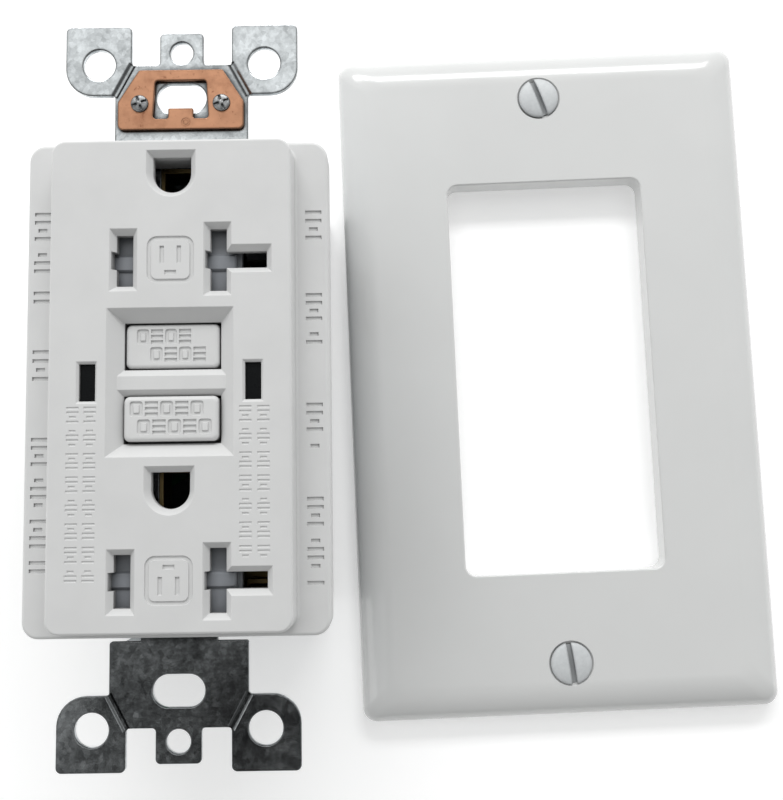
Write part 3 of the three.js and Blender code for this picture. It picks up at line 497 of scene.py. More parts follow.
def moulded(colour, roughness, grain=0.35, grain_depth=0.004, deep_shade_tone=0.3):
    """Moulded resin: faint clouding, spark-eroded grain, painted shade with a little dust in corners, painted
    shade deep inside.
    """
    finish = Finish()
    clouds = finish.mix(finish.spread(finish.noise(7)), darker(colour, 0.955), colour)
    # Painted shade with a little dust: corners darkened by ambient occlusion.
    corners = finish.spread(finish.crevice(1.6), 0, 1, 0.25, 0.95)
    # Painted shade: darker deep inside openings and rooms, where little light reaches.
    deep_shade = finish.spread(finish.crevice(9), 0, 1, 0.22, 0.5)
    dusty_and_shaded = finish.mix(corners, darker(colour, 0.85), clouds)
    finish.set("Base Color", finish.mix(deep_shade, darker(colour, deep_shade_tone), dusty_and_shaded))
    finish.set("Roughness", finish.spread(finish.noise(1.4), roughness - 0.06, roughness + 0.06))
    finish.bump(finish.noise(grain, detail=2), grain_depth)
    return finish.material


def glossy(colour, roughness):
    """Polished resin: slow waviness, faint clouding and a faint change of gloss."""
    finish = Finish()
    finish.set("Base Color", finish.mix(finish.spread(finish.noise(18)), darker(colour, 0.97), colour))
    handled = finish.noise(1.6, detail=4, stretch=(0.5, 1, 1))
    finish.set("Roughness", finish.spread(handled, roughness - 0.03, roughness + 0.04))
    finish.set("Coat Weight", 0.35)
    finish.set("Coat Roughness", 0.06)
    finish.bump(finish.noise(14, detail=1), 0.02)
    return finish.material


def lens(colour):
    """Smoked light pipe: dark, glassy, with faint flow lines."""
    finish = Finish()
    finish.set("Base Color", finish.mix(finish.noise(1.2), colour, darker(colour, 1.6)))
    finish.set("Roughness", finish.spread(finish.noise(0.7), 0.22, 0.36))
    finish.set("Specular IOR Level", 0.12)
    finish.bump(finish.noise(1.5, detail=1), 0.01)
    return finish.material


def plated(pale, dark, roughness, patch=1.6, wear=0.5, metallic=1.0, shade_share=0.22, sheet=False):
    """Plated steel: clouds at two scales, faint spangle, painted shade on rims, creases and hollows, handling
    scratches.
    """
    finish = Finish()
    clouds = finish.mix(0.5, finish.noise(patch, detail=6, rough=0.65), finish.noise(patch * 5, detail=3))
    mottled = finish.mix(0.14, clouds, finish.cells(patch * 0.4))
    plating = finish.mix(finish.spread(mottled, 0, 1, 0.34, 0.64), dark, pale)
    # Painted shade: rims, creases and hollows darkened towards a share of the dark tone.
    rim_and_hollow_shade = darker(dark, shade_share)
    rims = finish.sheet_rims(0.5) if sheet else finish.edges(0.45)
    hollow_shade = finish.spread(finish.crevice(1.2), 0, 1, 0.6, 0.95)
    finish.set("Base Color", finish.mix(hollow_shade, rim_and_hollow_shade, finish.mix(rims, plating, rim_and_hollow_shade)))
    scratches = finish.noise(0.3, detail=5, stretch=(0.5, 1, 1))
    rubbed = finish.mix(0.3, mottled, scratches)
    finish.set("Roughness", finish.spread(rubbed, roughness - 0.05, roughness + 0.08))
    finish.set("Metallic", metallic)
    finish.bump(mottled, 0.008 * wear)
    finish.bump(scratches, 0.002 * wear)
    return finish.material


def sheet_metal(colour, stain, roughness, sheet=False):
    """Rolled copper or brass: rolling lines, finger stains, small dark spots, painted shade on rims and deep
    inside.
    """
    finish = Finish()
    warm = finish.mix(finish.spread(finish.noise(3.2, detail=5)), colour, darker(colour, 0.8))
    # Painted shade: darker deep inside, by ambient occlusion.
    deep_shade = finish.spread(finish.crevice(9), 0, 1, 0.2, 0.6)
    shaded = finish.mix(deep_shade, darker(colour, 0.2), warm)
    smears = finish.spread(finish.noise(4.5, detail=6, rough=0.65), 0, 0.5, 0.5, 0.7)
    spots = finish.spread(finish.noise(0.8, detail=5, rough=0.7), 0, 0.8, 0.6, 0.7)
    stained = finish.mix(spots, finish.mix(smears, shaded, stain), stain)
    # Painted shade: rims and creases darkened.
    rims = finish.sheet_rims(0.5) if sheet else finish.edges(0.4)
    finish.set("Base Color", finish.mix(rims, stained, darker(colour, 0.3)))
    lines = finish.noise(0.35, detail=4, stretch=(0.5, 1, 1))
    finish.set("Roughness", finish.spread(lines, roughness - 0.04, roughness + 0.06))
    finish.set("Metallic", 1.0)
    finish.bump(lines, 0.0012)
    finish.bump(finish.noise(1.1, detail=3), 0.004)
    return finish.material


def wound(colour):
    """Enamelled winding wire."""
    finish = Finish()
    finish.set("Base Color", finish.mix(finish.noise(0.6), colour, darker(colour, 0.55)))
    finish.set("Roughness", finish.spread(finish.noise(0.5), 0.22, 0.4))
    finish.set("Metallic", 0.75)
    finish.bump(finish.noise(0.3), 0.01)
    return finish.material


def clear_resin(colour):
    """Milky, partly clear resin."""
    finish = Finish()
    finish.set("Base Color", finish.mix(finish.noise(1.5), colour, darker(colour, 0.9)))
    finish.set("Roughness", finish.spread(finish.noise(0.8), 0.12, 0.25))
    finish.set("Transmission Weight", 0.35)
    finish.bump(finish.noise(1.2), 0.006)
    return finish.material


def laminate(colour):
    """Circuit board under solder mask: glass weave just showing."""
    finish = Finish()
    weave = finish.cells(0.55, stretch=(1, 1, 0.2), output="Distance")
    shown = finish.spread(weave, 0, 1, 0.1, 0.6)
    finish.set("Base Color", finish.mix(shown, colour, darker(colour, 0.75)))
    finish.set("Roughness", finish.spread(finish.noise(2), 0.3, 0.42))
    finish.bump(weave, 0.01)
    return finish.material


MATERIALS = {
    "white_resin": moulded((0.69, 0.692, 0.69), 0.46),
    "gloss_resin": glossy((0.725, 0.73, 0.725), 0.16),
    "housing_resin": moulded((0.36, 0.375, 0.385), 0.5),
    # Painted shade deep inside the grey resin goes to 0.6 of its colour.
    "grey_resin": moulded((0.28, 0.295, 0.32), 0.36, grain_depth=0.002, deep_shade_tone=0.6),
    "dark_resin": moulded((0.035, 0.037, 0.041), 0.42),
    "smoked_lens": lens((0.003, 0.0035, 0.004)),
    "zinc_steel": plated((0.86, 0.90, 0.92), (0.38, 0.40, 0.41), 0.17, sheet=True),
    "copper_alloy": sheet_metal((0.60, 0.31, 0.185), (0.24, 0.1, 0.055), 0.34, sheet=True),
    "brass": sheet_metal((0.78, 0.57, 0.26), (0.3, 0.2, 0.08), 0.36),
    "nickel_steel": plated((0.8, 0.81, 0.82), (0.64, 0.65, 0.66), 0.3, patch=0.9, wear=0.25),
    "green_screw": plated((0.06, 0.36, 0.14), (0.03, 0.2, 0.08), 0.36, wear=0.3),
    "spring_steel": plated((0.62, 0.63, 0.65), (0.4, 0.41, 0.43), 0.3, patch=0.5, wear=0.3),
    "board": laminate((0.02, 0.12, 0.05)),
    "windings": wound((0.52, 0.17, 0.06)),
    "ferrite": moulded((0.05, 0.052, 0.056), 0.6, grain=0.5, grain_depth=0.012),
    "varistor_coat": moulded((0.03, 0.08, 0.26), 0.32, grain=0.7, grain_depth=0.01),
    "led_resin": clear_resin((0.62, 0.72, 0.58)),
    "worn_zinc": plated((0.42, 0.43, 0.43), (0.2, 0.205, 0.21), 0.36, patch=0.8),
    # The satin screws' painted shade on rims and hollows goes only to 0.7 of the dark tone.
    "satin_nickel": plated((0.66, 0.68, 0.69), (0.56, 0.58, 0.59), 0.4, 0.9, 0.25, metallic=0.0, shade_share=0.7),
}
for material_name, material in MATERIALS.items():
    material.name = material_name


def coat(obj, finish):
    obj.data.materials.clear()
    obj.data.materials.append(MATERIALS[finish])


def place(piece, node, crease=38, finish=None):
    """Finishes a piece of mesh and lets it stand for its node; edges sharper than the crease angle stay."""
    piece.name = node + "_shell"
    piece.data.shade_smooth()
    piece.data.set_sharp_from_angle(angle=radians(crease))
    piece.modifiers.new("even shading", "WEIGHTED_NORMAL").keep_sharp = True
    coat(piece, finish or SLOT_OF[node])
    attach(piece, BODY_OF[node])
    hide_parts(node)


def keep(node):
    """Shows a CAD node itself, with eased edges and its procedural finish."""
    obj = frame["nodes"][node]
    coat(obj, SLOT_OF[node])
    obj.modifiers.new("weld", "WELD").merge_threshold = 0.002 * MM
    merge_flats(obj, 1)
    round_edges(obj, 0.08, clamp=True)
    obj.data.shade_smooth()
    obj.modifiers.new("even shading", "WEIGHTED_NORMAL")


def cad_box(node):
    """The lowest and the highest corner of a CAD node."""
    return [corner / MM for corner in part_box(node)]


# ---------------- front cover


hot_slot = growing(*HOT_SLOT.values(), 0, -BLADE_X)


def neutral_slot(grow):
    """A T on its side: an upright slot and the leg for a crosswise blade."""
    side, end, leg, leg_end = (NEUTRAL_SLOT[key] + grow for key in ("side", "end", "leg", "leg_end"))
    corners = [(-side, -end), (side, -end), (side, -leg), (leg_end, -leg)]
    corners += [(leg_end, leg), (side, leg), (side, end), (-side, end)]
    return shifted([Vector(c) for c in corners], BLADE_X, 0)


def ground_hole(grow):
    """A D lying on its flat side: half a circle under a square end."""
    half, flat = GROUND_HOLE["half"] + grow, GROUND_HOLE["flat"] + grow
    angles = [pi * (1 + i / 28) for i in range(29)]
    dee = [Vector((half * cos(a), GROUND_HOLE["arc_centre"] + half * sin(a))) for a in angles]
    dee += [Vector((half, flat)), Vector((-half, flat))]
    return shifted(dee, 0, GROUND_ABOVE_BLADES)


def bevelled_opening(shape_at, blade_line):
    """Tool for an opening with a bevel round its mouth."""
    mouth = BEVEL_WIDTH + BEYOND * BEVEL_WIDTH / BEVEL_DEPTH
    levels = [(OPENING_BOTTOM, 0), (FACE_TOP - BEVEL_DEPTH, 0), (FACE_TOP + BEYOND, mouth)]
    return stack(levels, lambda grow: shifted(shape_at(grow), 0, blade_line))


def receptacle_tools(blade_line):
    """The three openings of one receptacle and the notch in the left side of each blade slot."""
    tools = [bevelled_opening(shape, blade_line) for shape in (hot_slot, neutral_slot, ground_hole)]
    for x in (-BLADE_X, BLADE_X):
        tools.append(block(x - NEUTRAL_SLOT["side"], blade_line, *SLOT_NOTCH.values()))
    return tools


def recess_tools():
    """The sloping field round the buttons, with the bridge left standing, and the two button holes."""
    width, length, floor_width, floor_length, floor = RECESS.values()
    top, half_top, half_base = BRIDGE.values()
    spread = BEYOND / (FACE_TOP - floor) * (width - floor_width)
    field = loft([
        (floor, rectangle(floor_width, floor_length)),
        (FACE_TOP + BEYOND, rectangle(width + spread, length + spread)),
    ])
    reach = width + 2
    bridge = loft([
        (floor - 1, rectangle(reach, 2 * half_base + 0.02)),
        (floor, rectangle(reach, 2 * half_base)),
        (top, rectangle(reach, 2 * half_top)),
    ])
    half, end = floor_width / 2, floor_length / 2
    spans = [(half_base, end), (-end, -half_base)]
    return [cut(field, bridge), *[box(-half, half, *span, UNDER_COVER, floor + 0.1) for span in spans]]


def window_tool(side):
    lip, beyond = 0.35, 0.1
    levels = [(UNDER_COVER, 0), (FACE_TOP - lip, 0), (FACE_TOP + beyond, lip + beyond)]
    return stack(levels, growing(WINDOW["width"], WINDOW["length"], 0, side * WINDOW["x"]))


def cover_blank():
    """Shoulder and raised face as one body, with a cove where they meet and rounded rims."""
    chamfer, cove, draft = 0.15, 0.45, 0.12
    skirt = [(SHELL_SPLIT, -chamfer), (SHELL_SPLIT + chamfer, 0), *soft_rim(SHOULDER_TOP, 0.5, 6)]
    wall = [(SHELL_SPLIT + 2, draft + cove)]
    wall += [(SHOULDER_TOP + cove * c, draft + cove * (1 - s)) for s, c in quarter(5)]
    wall += soft_rim(FACE_TOP, 0.4, 6)
    return join(*[
        stack(levels, growing(*size.values(), steps=12)) for size, levels in ((HOUSING, skirt), (FACE, wall))
    ])


def front_cover():
    """The white cover, hollowed under its shoulder and face, with bosses for the housing screws."""
    foot, step = SHELL_SPLIT - 0.5, 35
    cover = cut(
        cover_blank(),
        block(0, 0, HOUSING["width"] - 2 * WALL, HOUSING["length"] - 2 * WALL, foot, step + 1),
        block(0, 0, FACE["width"] - 2 * WALL, FACE["length"] - 2 * WALL, step, FACE_TOP - FACE_THICKNESS),
    )
    join(
        cover,
        block(0, 0, 20, 21.6, BUTTON["flange_top"] + 0.2, FACE_TOP - 1),
        *[rod("z", BOSS["radius"], SHELL_SPLIT, BOSS["top"], x, y) for x, y in BOSSES],
    )
    openings = [tool for line in BLADE_LINES.values() for tool in receptacle_tools(line)]
    screw_holes = [rod("z", BOSS["bore"], foot, BOSS["bore_top"], x, y, 24) for x, y in BOSSES]
    strap_clearance = STRAP_FRONT + 0.15
    cut(
        cover,
        box(-9.75, 9.75, 31, 36, foot, strap_clearance),
        box(-5.5, 5.5, -36, -31, foot, strap_clearance),
        *openings,
        *screw_holes,
        *recess_tools(),
        window_tool(-1),
        window_tool(1),
    )
    ease(cover, 0.07, split=False)
    cut(cover, merge(shoulder_marks() + face_marks()))
    place(cover, "front_cover")


# ---------------- sunk marks, generic shapes in place of lettering

MARK_DEPTH = 0.22
MARK_DRAFT = 0.1
SHOULDER_TICK = {"length": 2.1, "pitch": 1.15, "width": 0.34}
FACE_TICK = {"length": 1.5, "pitch": 0.62, "width": 0.17, "depth": 0.12}
SIGN_LINE = 0.42


def stroke(x, y, width, length, surface, depth=MARK_DEPTH):
    """Tool for a sunk bar with sloping sides."""
    levels = [(surface - depth, 0), (surface + BEYOND, MARK_DRAFT * (depth + BEYOND) / depth)]
    return stack(levels, growing(width, length, 0, x, y))


def ring_stroke(shape_at, width, surface, depth=MARK_DEPTH):
    """Tool for a sunk closed line: shape_at(grow) is its outer outline, width the line's width."""
    top = surface + BEYOND
    slope = MARK_DRAFT * (depth + BEYOND) / depth
    loops = [(surface - depth, 0), (top, slope), (top, -width - slope), (surface - depth, -width)]
    outlines = [(z, shape_at(grow)) for z, grow in loops]
    count = len(outlines[0][1])
    points = [(p.x, p.y, z) for z, outline in outlines for p in outline]
    return solid(points, tube(4, count) + band(3 * count, 0, count))


def tick_run(x, start, end, surface, length, pitch, width, depth=MARK_DEPTH):
    """A column of short bars from start to end, every third one half as long and every fifth left out."""
    count = max(1, round(abs(end - start) / pitch))
    step = (end - start) / count
    marks = []
    for i in range(count):
        if i % 5 == 4:
            continue
        share = 0.5 if i % 3 == 2 else 1
        marks.append(stroke(x, start + (i + 0.5) * step, length * share, width, surface, depth))
    return marks


def shoulder_marks():
    right = [(24.7, 18.7), (12.9, 5.2), (-2.4, -9.2), (-15.3, -27.8)]
    left = [(24.9, 15.7), (13.7, 11.4), (5.5, -0.7), (-6.7, -25.7)]
    marks = []
    for x, runs in ((18.95, right), (-18.9, left)):
        for start, end in runs:
            marks += tick_run(x, start, end, SHOULDER_TOP, **SHOULDER_TICK)
    return marks


def face_marks():
    marks = []
    for columns, start, end in (((-12.9, -10.6), -3.1, -26.5), ((10.1, 12.5), -3.2, -23.5)):
        for x in columns:
            marks += tick_run(x, start, end, FACE_TOP, **FACE_TICK)
    return marks + outlet_sign(16.55, 1) + outlet_sign(-26.25, -1)


def outlet_sign(y, way):
    """A rounded square with two upright bars and a short one below them."""
    square = ring_stroke(growing(6.2, 6.3, 1.3, 0, y, 6), SIGN_LINE, FACE_TOP)
    bars = [stroke(x, y + way * 0.7, SIGN_LINE, 2.2, FACE_TOP) for x in (-1.15, 1.15)]
    return [square, *bars, stroke(0, y - way * 1.75, 1.4, SIGN_LINE, FACE_TOP)]


# ---------------- buttons, windows and shutters


def button(node):
    """A push button: cap with soft rims over the flange that stops it, and a stem where it has one."""
    low, high = cad_box(node)
    y, top = (low.y + high.y) / 2, high.z
    width, length, flange_width, flange_length, flange_top = BUTTON.values()

    def cap(grow):
        return rectangle(width + 2 * grow, length + 2 * grow, 0.8 + 0.5 * grow, 0, y, steps=6)

    flange_bottom = flange_top - 1
    flange = block(0, y, flange_width, flange_length, flange_bottom, flange_top)
    body = join(stack([(flange_top - 0.5, 0), *soft_rim(top, 0.6, 6)], cap), flange)
    if low.z < flange_bottom - 1:
        join(body, block(0, y, 2.4, 2.4, low.z, flange_bottom + 0.5))
    marks = []
    for start, end, above, count in BUTTON_MARKS[node]:
        marks += square_marks(start - width / 2, end - width / 2, y + above, top, count)
    cut(body, merge(marks))
    place(body, node)


# Rows of marks: start and end from the button's left side, height above its middle, count.
BUTTON_MARKS = {
    "test_button": [(1.4, 9, 1.35, 4), (3.2, 11, -1.1, 4)],
    "reset_button": [(0.7, 10.9, 1.35, 5), (1.7, 12, -1.1, 5)],
}


def square_marks(left, right, y, top, count):
    """A row of small sunk squares and triple bars, by turns."""
    pitch = (right - left) / count
    width, length = min(pitch * 0.78, 2), 1.9
    tools = []
    for i in range(count):
        x = left + (i + 0.5) * pitch

        def square(grow):
            return rectangle(width + 2 * grow, length + 2 * grow, max(0.05, 0.3 + grow), x, y, steps=3)

        if i % 2 == 0:
            tools.append(ring_stroke(square, 0.36, top))
        else:
            tools += [stroke(x, y + dy, width, 0.34, top) for dy in (-0.75, 0, 0.75)]
    return tools


def light_pipe(node, side):
    low, high = cad_box(node)
    size = (WINDOW["width"] - 0.1, WINDOW["length"] - 0.1)
    pipe = prism(rectangle(*size, 0, side * WINDOW["x"]), low.z, high.z)
    place(ease(pipe, 0.1), node)


SHUTTER = {"left": -9.3, "right": 9.2, "half": 4.6, "bottom": 37.5, "top": 40, "travel": 3.9}


def shutter(node, blade_line):
    """A tamper-resistant slide with a pad and a sloping ridge under each slot, and an arm for its spring."""
    half, bottom = SHUTTER["half"], SHUTTER["bottom"]
    pads, ridges = [], []
    for x in (-BLADE_X, BLADE_X):
        pads.append(block(x, 0, 3.4, 2 * half, 38.5, 39.6))
        base, crest = rectangle(4.4, 2.3, 0, x), rectangle(3.7, 1.7, 0, x)
        ridges.append(loft([(38.5, base), (39.7, base), (SHUTTER["top"], crest)]))
    slide = box(SHUTTER["left"], SHUTTER["right"], -half, half, bottom, 39)
    body = join(slide, *pads, *ridges)
    cut(body, block(SHUTTER["travel"] - BLADE_X, 0, 2.5, 8.2, 37, 41))
    join(body, box(-4.8, -3.8, half - 0.5, 7.6, bottom, 39.4))
    ease(body, 0.12)
    place(shift(body, y=blade_line), node)


# ---------------- strap, clip and rivets


def strap_end(neck):
    """Corners of one end of the strap on its +X side, from the housing outwards to the centre tab."""
    half, inner_half, inner_end, ear_in, ear_out = STRAP.values()
    ear_start, ear_end, shoulder, tab_half, tab_end = STRAP_ENDS.values()
    return [
        (inner_half, inner_end, 0.8), *neck,
        (half, ear_start, 0.4), (ear_out, ear_start, 4), (ear_out, ear_end, 0.8), (ear_in, ear_end, 0.8),
        (ear_in, shoulder, 0.5), (tab_half, shoulder, 0.5), (tab_half, tab_end, 0.7),
    ]


def mirrored(corners, sx, sy):
    return [(sx * x, sy * y, radius) for x, y, radius in corners]


def crease(sx, sy):
    """Tool for the score line where an ear snaps off: a wide shallow V."""
    x0, x1 = STRAP["ear_in"], STRAP["half"]
    y0, y1 = STRAP_ENDS["shoulder"], STRAP_ENDS["ear_start"]
    run = Vector((x1 - x0, y1 - y0))
    length = run.length + 0.5
    groove = loft([(STRAP_FRONT - 0.3, rectangle(0.35, length)), (STRAP_FRONT + 0.1, rectangle(1.4, length))])
    middle = at(sx * (x0 + x1) / 2, sy * (y0 + y1) / 2, 0)
    return move(groove, middle @ spin(sx * sy * atan2(run.x, -run.y)))


def strap_edge():
    top_end = strap_end([(STRAP["half"], STRAP["inner_end"], 0)])
    bottom_end = strap_end([(5.3, STRAP["inner_end"], 0), (5.3, 35, 0), (STRAP["half"], 35, 0.4)])
    return rounded([
        *top_end,
        *reversed(mirrored(top_end, -1, 1)),
        *mirrored(bottom_end, -1, -1),
        *reversed(mirrored(bottom_end, 1, -1)),
    ])


def strap_holes():
    """Clearances for buttons and light pipes, screw and rivet holes, then clearances for the contacts."""
    holes = [rectangle(16.4, 18.8)]
    for sx in (1, -1):
        holes.append(rectangle(3.4, 6.2, 0, sx * WINDOW["x"]))
        holes.append(circle(RIVET["shank"] + 0.15, sx * RIVET["x"], RIVET["y"], 24))
        holes += [circle(EAR_HOLE["radius"], sx * EAR_HOLE["x"], sy * EAR_HOLE["y"], 64) for sy in (1, -1)]
    for sy in (1, -1):
        holes.append(circle(1.65, 0, sy * PLATE_SCREW_Y))
        holes.append(rectangle(7.15, 4.45, 2.22, 0, sy * BOX_SCREW_Y, steps=16))
    for y in BLADE_LINES.values():
        holes.append(rectangle(5.7, 9.2, 0, -6.45, y))
        holes.append(rectangle(9.6, 9.2, 0, 8.4, y))
        holes.append(rectangle(5.6, 5.6, 0, 0, y + GROUND_ABOVE_BLADES))
    return holes


def mounting_strap():
    strap = eased_sheet(strap_edge(), strap_holes(), STRAP_BACK, STRAP_FRONT, 0.16)
    x, z, half, bottom, back, front = GROUND_TAB.values()
    tab = box(x - half, x + half, back, front, bottom, STRAP_BACK + 0.5)
    cut(tab, rod("y", 1.8, back - 1, front + 1, x, z, 32))
    join(strap, ease(tab, 0.13))
    cut(strap, merge([crease(sx, sy) for sx in (1, -1) for sy in (1, -1)]))
    place(strap, "mounting_strap", crease=24)


def ground_clip():
    """Copper clip whose opening leaves a tongue over the oval slot, with a small ring stamped in it."""
    low, waist, high = 36.9, 41, 45.7
    edge = rounded([
        (-9, low, 0.8), (9, low, 0.8), (9, waist, 0.6), (6, high, 0.4), (-6, high, 0.4), (-9, waist, 0.6),
    ])
    low, tongue_end, high = 38.5, 40, 44.1
    opening = rounded([
        (-4, low, 0.45), (-1.8, low, 0.3), (-1.8, tongue_end, 0.25), (1.8, tongue_end, 0.25),
        (1.8, low, 0.3), (4, low, 0.45), (3.65, high, 0.4), (-3.65, high, 0.4),
    ])
    holes = [circle(RIVET["shank"] + 0.1, sx * RIVET["x"], RIVET["y"], 24) for sx in (1, -1)]
    clip = eased_sheet(edge, [opening, *holes], CLIP_BACK, CLIP_FRONT, 0.15)
    cut(clip, ring_stroke(lambda grow: circle(0.55 + grow, 0.75, 37.95, 32), 0.16, CLIP_FRONT, 0.08))
    place(clip, "ground_clip")


def clip_rivet(node, side):
    """A staked rivet: flat dome with a cross of four dents."""
    top, tail = CLIP_FRONT, STRAP_BACK
    head, shank = RIVET["head"], RIVET["shank"]
    gap = 0.02
    body = turned([
        (0, tail - 0.55), (head * 0.9, tail - 0.55), (head, tail - 0.4), (head, tail - gap),
        (shank, tail - gap), (shank, top + gap), (head, top + gap), (head, top + 0.2),
        (head * 0.85, top + 0.36), (head * 0.5, top + 0.42), (0, top + 0.44),
    ])
    dents = []
    for k in range(4):
        dents.append(block(0.72, 0, 0.75, 0.3, top + 0.22, top + 0.6))
        move(dents[-1], spin(radians(90 * k + 20)))
    cut(body, merge(dents))
    ease(body, 0.05)
    place(shift(body, side * RIVET["x"], RIVET["y"]), node, finish="worn_zinc")


# ---------------- rear cover and its screws


def terminal_window(side, y):
    """Tool for a square window that flares a little where it leaves the tapering side."""
    width, height, flare, face = REAR_WINDOW.values()
    inside = REAR_ROOM["width"] / 2 - 0.1
    levels = [(inside, 0), (face - 0.3, 0), (face + 0.6, flare), (face + 3, flare)]
    window = loft([(x, rectangle(height + 2 * grow, width + 2 * grow)) for x, grow in levels])
    turn = AIM["x"] if side > 0 else spin(pi) @ AIM["x"]
    return move(window, at(0, y, TERMINAL["z"]) @ turn)


def rear_cover():
    """The tapering box behind the strap, with its ledges, bosses, board posts and terminal windows."""
    bottom_width, top_width, length, corner = REAR.values()
    foot, top = 0.4, SHELL_SPLIT - 0.1
    rest, end = STRAP_BACK - 0.05, length / 2 - 0.1

    def outer(z, inset=0.0):
        width = bottom_width + (z - foot) / (top - foot) * (top_width - bottom_width)
        return rectangle(width - 2 * inset, length - 2 * inset, corner - inset, steps=12)

    rim = [(share, 1 - sqrt(1 - (1 - share) ** 2)) for share in (0, 0.15, 0.35, 0.6, 1)]
    levels = [(foot * rise, outer(foot, foot * inset)) for rise, inset in rim]
    shell = loft([*levels, (top - 0.15, outer(top)), (top, outer(top, 0.15))])
    cut(shell, block(0, 0, REAR_ROOM["width"], REAR_ROOM["length"], WALL, 40))
    join(
        shell,
        box(-9.5, 9.5, 32.1, end, top - 1, rest),
        box(-5.2, 5.2, -end, -32.1, top - 1, rest),
        *[box(side * 16.2, side * 17.6, -13, 13, 1, 26.15) for side in (-1, 1)],
        *[rod("z", 2.4, 1, top, x, y) for x, y in BOSSES],
        *[rod("z", 1.5, 1, 4.45, x, y, 24) for x, y in BOARD_POSTS],
    )
    head_well, bore, bottom = 2.1, 1.3, 1.9
    way = [(0, -1), (head_well, -1), (head_well, bottom), (bore, bottom), (bore, 40), (0, 40)]
    ways = [shift(turned(way), x, y) for x, y in BOSSES]
    for side in (-1, 1):
        for y in (-TERMINAL["y"], TERMINAL["y"]):
            ways.append(terminal_window(side, y))
            ways += [rod("z", 1.4, -1, 3, side * 15.2, y + dy, 32) for dy in (-3, 3)]
    cut(shell, *ways)
    place(shell, "rear_cover")


def cross_recess(size, top, depth):
    """Tool for a cross-head recess, tapering downwards."""
    bottom, mouth = rectangle(size * 0.35, size * 0.16), rectangle(size, size * 0.26)
    bars = [loft([(top - depth, bottom), (top + BEYOND, mouth)]) for _ in range(2)]
    move(bars[1], spin(pi / 2))
    return join(*bars)


def threads(radius, root, start, end, pitch):
    """(radius, height) pairs of a threaded shank, upwards."""
    count = int((end - start) / pitch)
    pairs = []
    for i in range(count):
        z = start + i * pitch
        pairs += [(root, z), (root, z + pitch * 0.35), (radius, z + pitch * 0.6), (radius, z + pitch * 0.7)]
    return pairs


def housing_screw(node):
    """A long cross-headed screw, its head sunk in the back of the housing."""
    low, high = cad_box(node)
    head, shank, back = 1.9, 0.95, 0.2
    body = turned([
        (0, back), (1.5, back), (1.85, 0.45), (head, 0.7), (head, 1.6), (shank, 1.8), (shank, 30),
        *threads(shank, 0.72, 30, 35, 0.6),
        (0.6, 35.3), (0, 35.55),
    ], 32)
    cut(body, move(cross_recess(2.2, 0, 0.9), at(0, 0, back) @ spin(pi, "X")))
    place(shift(body, (low.x + high.x) / 2, (low.y + high.y) / 2), node)


# ---------------- terminal screws and clamps


def binder_screw(node, shank_length, matrix, turn=0.0):
    """A wide flat-headed screw with a slot and a cross recess, its head outwards along the matrix's Z."""
    shank, neck, soft = 1.7, 1.4, 0.45
    body = turned([
        (0, -shank_length), (shank - 0.4, -shank_length),
        *threads(shank, shank - 0.32, -shank_length + 0.3, -0.9, 0.79),
        (neck, -0.6), (neck, 0), (SCREW_HEAD - 0.25, 0), (SCREW_HEAD, 0.25),
        *[(SCREW_HEAD - soft * c, 2.15 + soft * s) for s, c in quarter(4)],
        (0, 2.66),
    ], 56)
    cut(body, block(0, 0, 9, 1.05, 1.55, 4), cross_recess(4.4, 2.7, 1.6))
    place(move(body, matrix @ spin(turn)), node)


def side_terminal(side, y, offset):
    """The frame of a side terminal: its Z points out of the housing's side."""
    return at(side * (TERMINAL["outside"] + offset), y, TERMINAL["z"]) @ spin(side * pi / 2, "Y")


def clamp_plate(node, matrix):
    """A pressed plate with serrated bite and the screw's hole."""
    plate = prism(rectangle(8.4, 10, 0.8), -0.6, 0.6)
    grooves = [block(x, 0, 0.35, 12, 0.38, 1) for x in (-3.5, -2.8, 2.8, 3.5)]
    cut(plate, rod("z", 1.95, -2, 2, 0, 0, 40), *grooves)
    ease(plate, 0.1)
    place(move(plate, matrix), node)


# ---------------- springs


def coil_spring(node, axis, start, end, radius, wire, turns, a, b):
    """A helical spring along an axis with closed ends, centred at (a, b) on the other two axes."""
    steps = int(turns * 28)
    closed = 0.12
    points = []
    for i in range(steps + 1):
        t = i / steps
        rise = min(max((t - closed) / (1 - 2 * closed), 0), 1)
        angle = 2 * pi * turns * t
        height = start + wire + 0.5 * wire * min(t, closed) / closed
        height += rise * (end - start - 3 * wire) + 0.5 * wire * max(t - 1 + closed, 0) / closed
        points.append(Vector((radius * cos(angle), radius * sin(angle), height)))
    spring = move(sweep(points, wire), along(axis, a, b))
    place(spring, node, crease=60)
    return spring


def springs():
    reset = coil_spring("reset_spring", "z", 28.15, 36.9, 2.7, 0.35, 7, 0, -4.9)
    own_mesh(reset)
    for end, blade_line in BLADE_LINES.items():
        spring = coil_spring(f"{end}_shutter_spring", "x", -13.9, -4.95, 1.1, 0.2, 9, blade_line + 6.2, 38.4)
        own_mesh(spring)
    plunger = coil_spring("plunger_spring", "y", 5.05, 7.95, 2.75, 0.25, 4, 0, 12.4)
    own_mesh(plunger)


# ---------------- wall plate and its screws


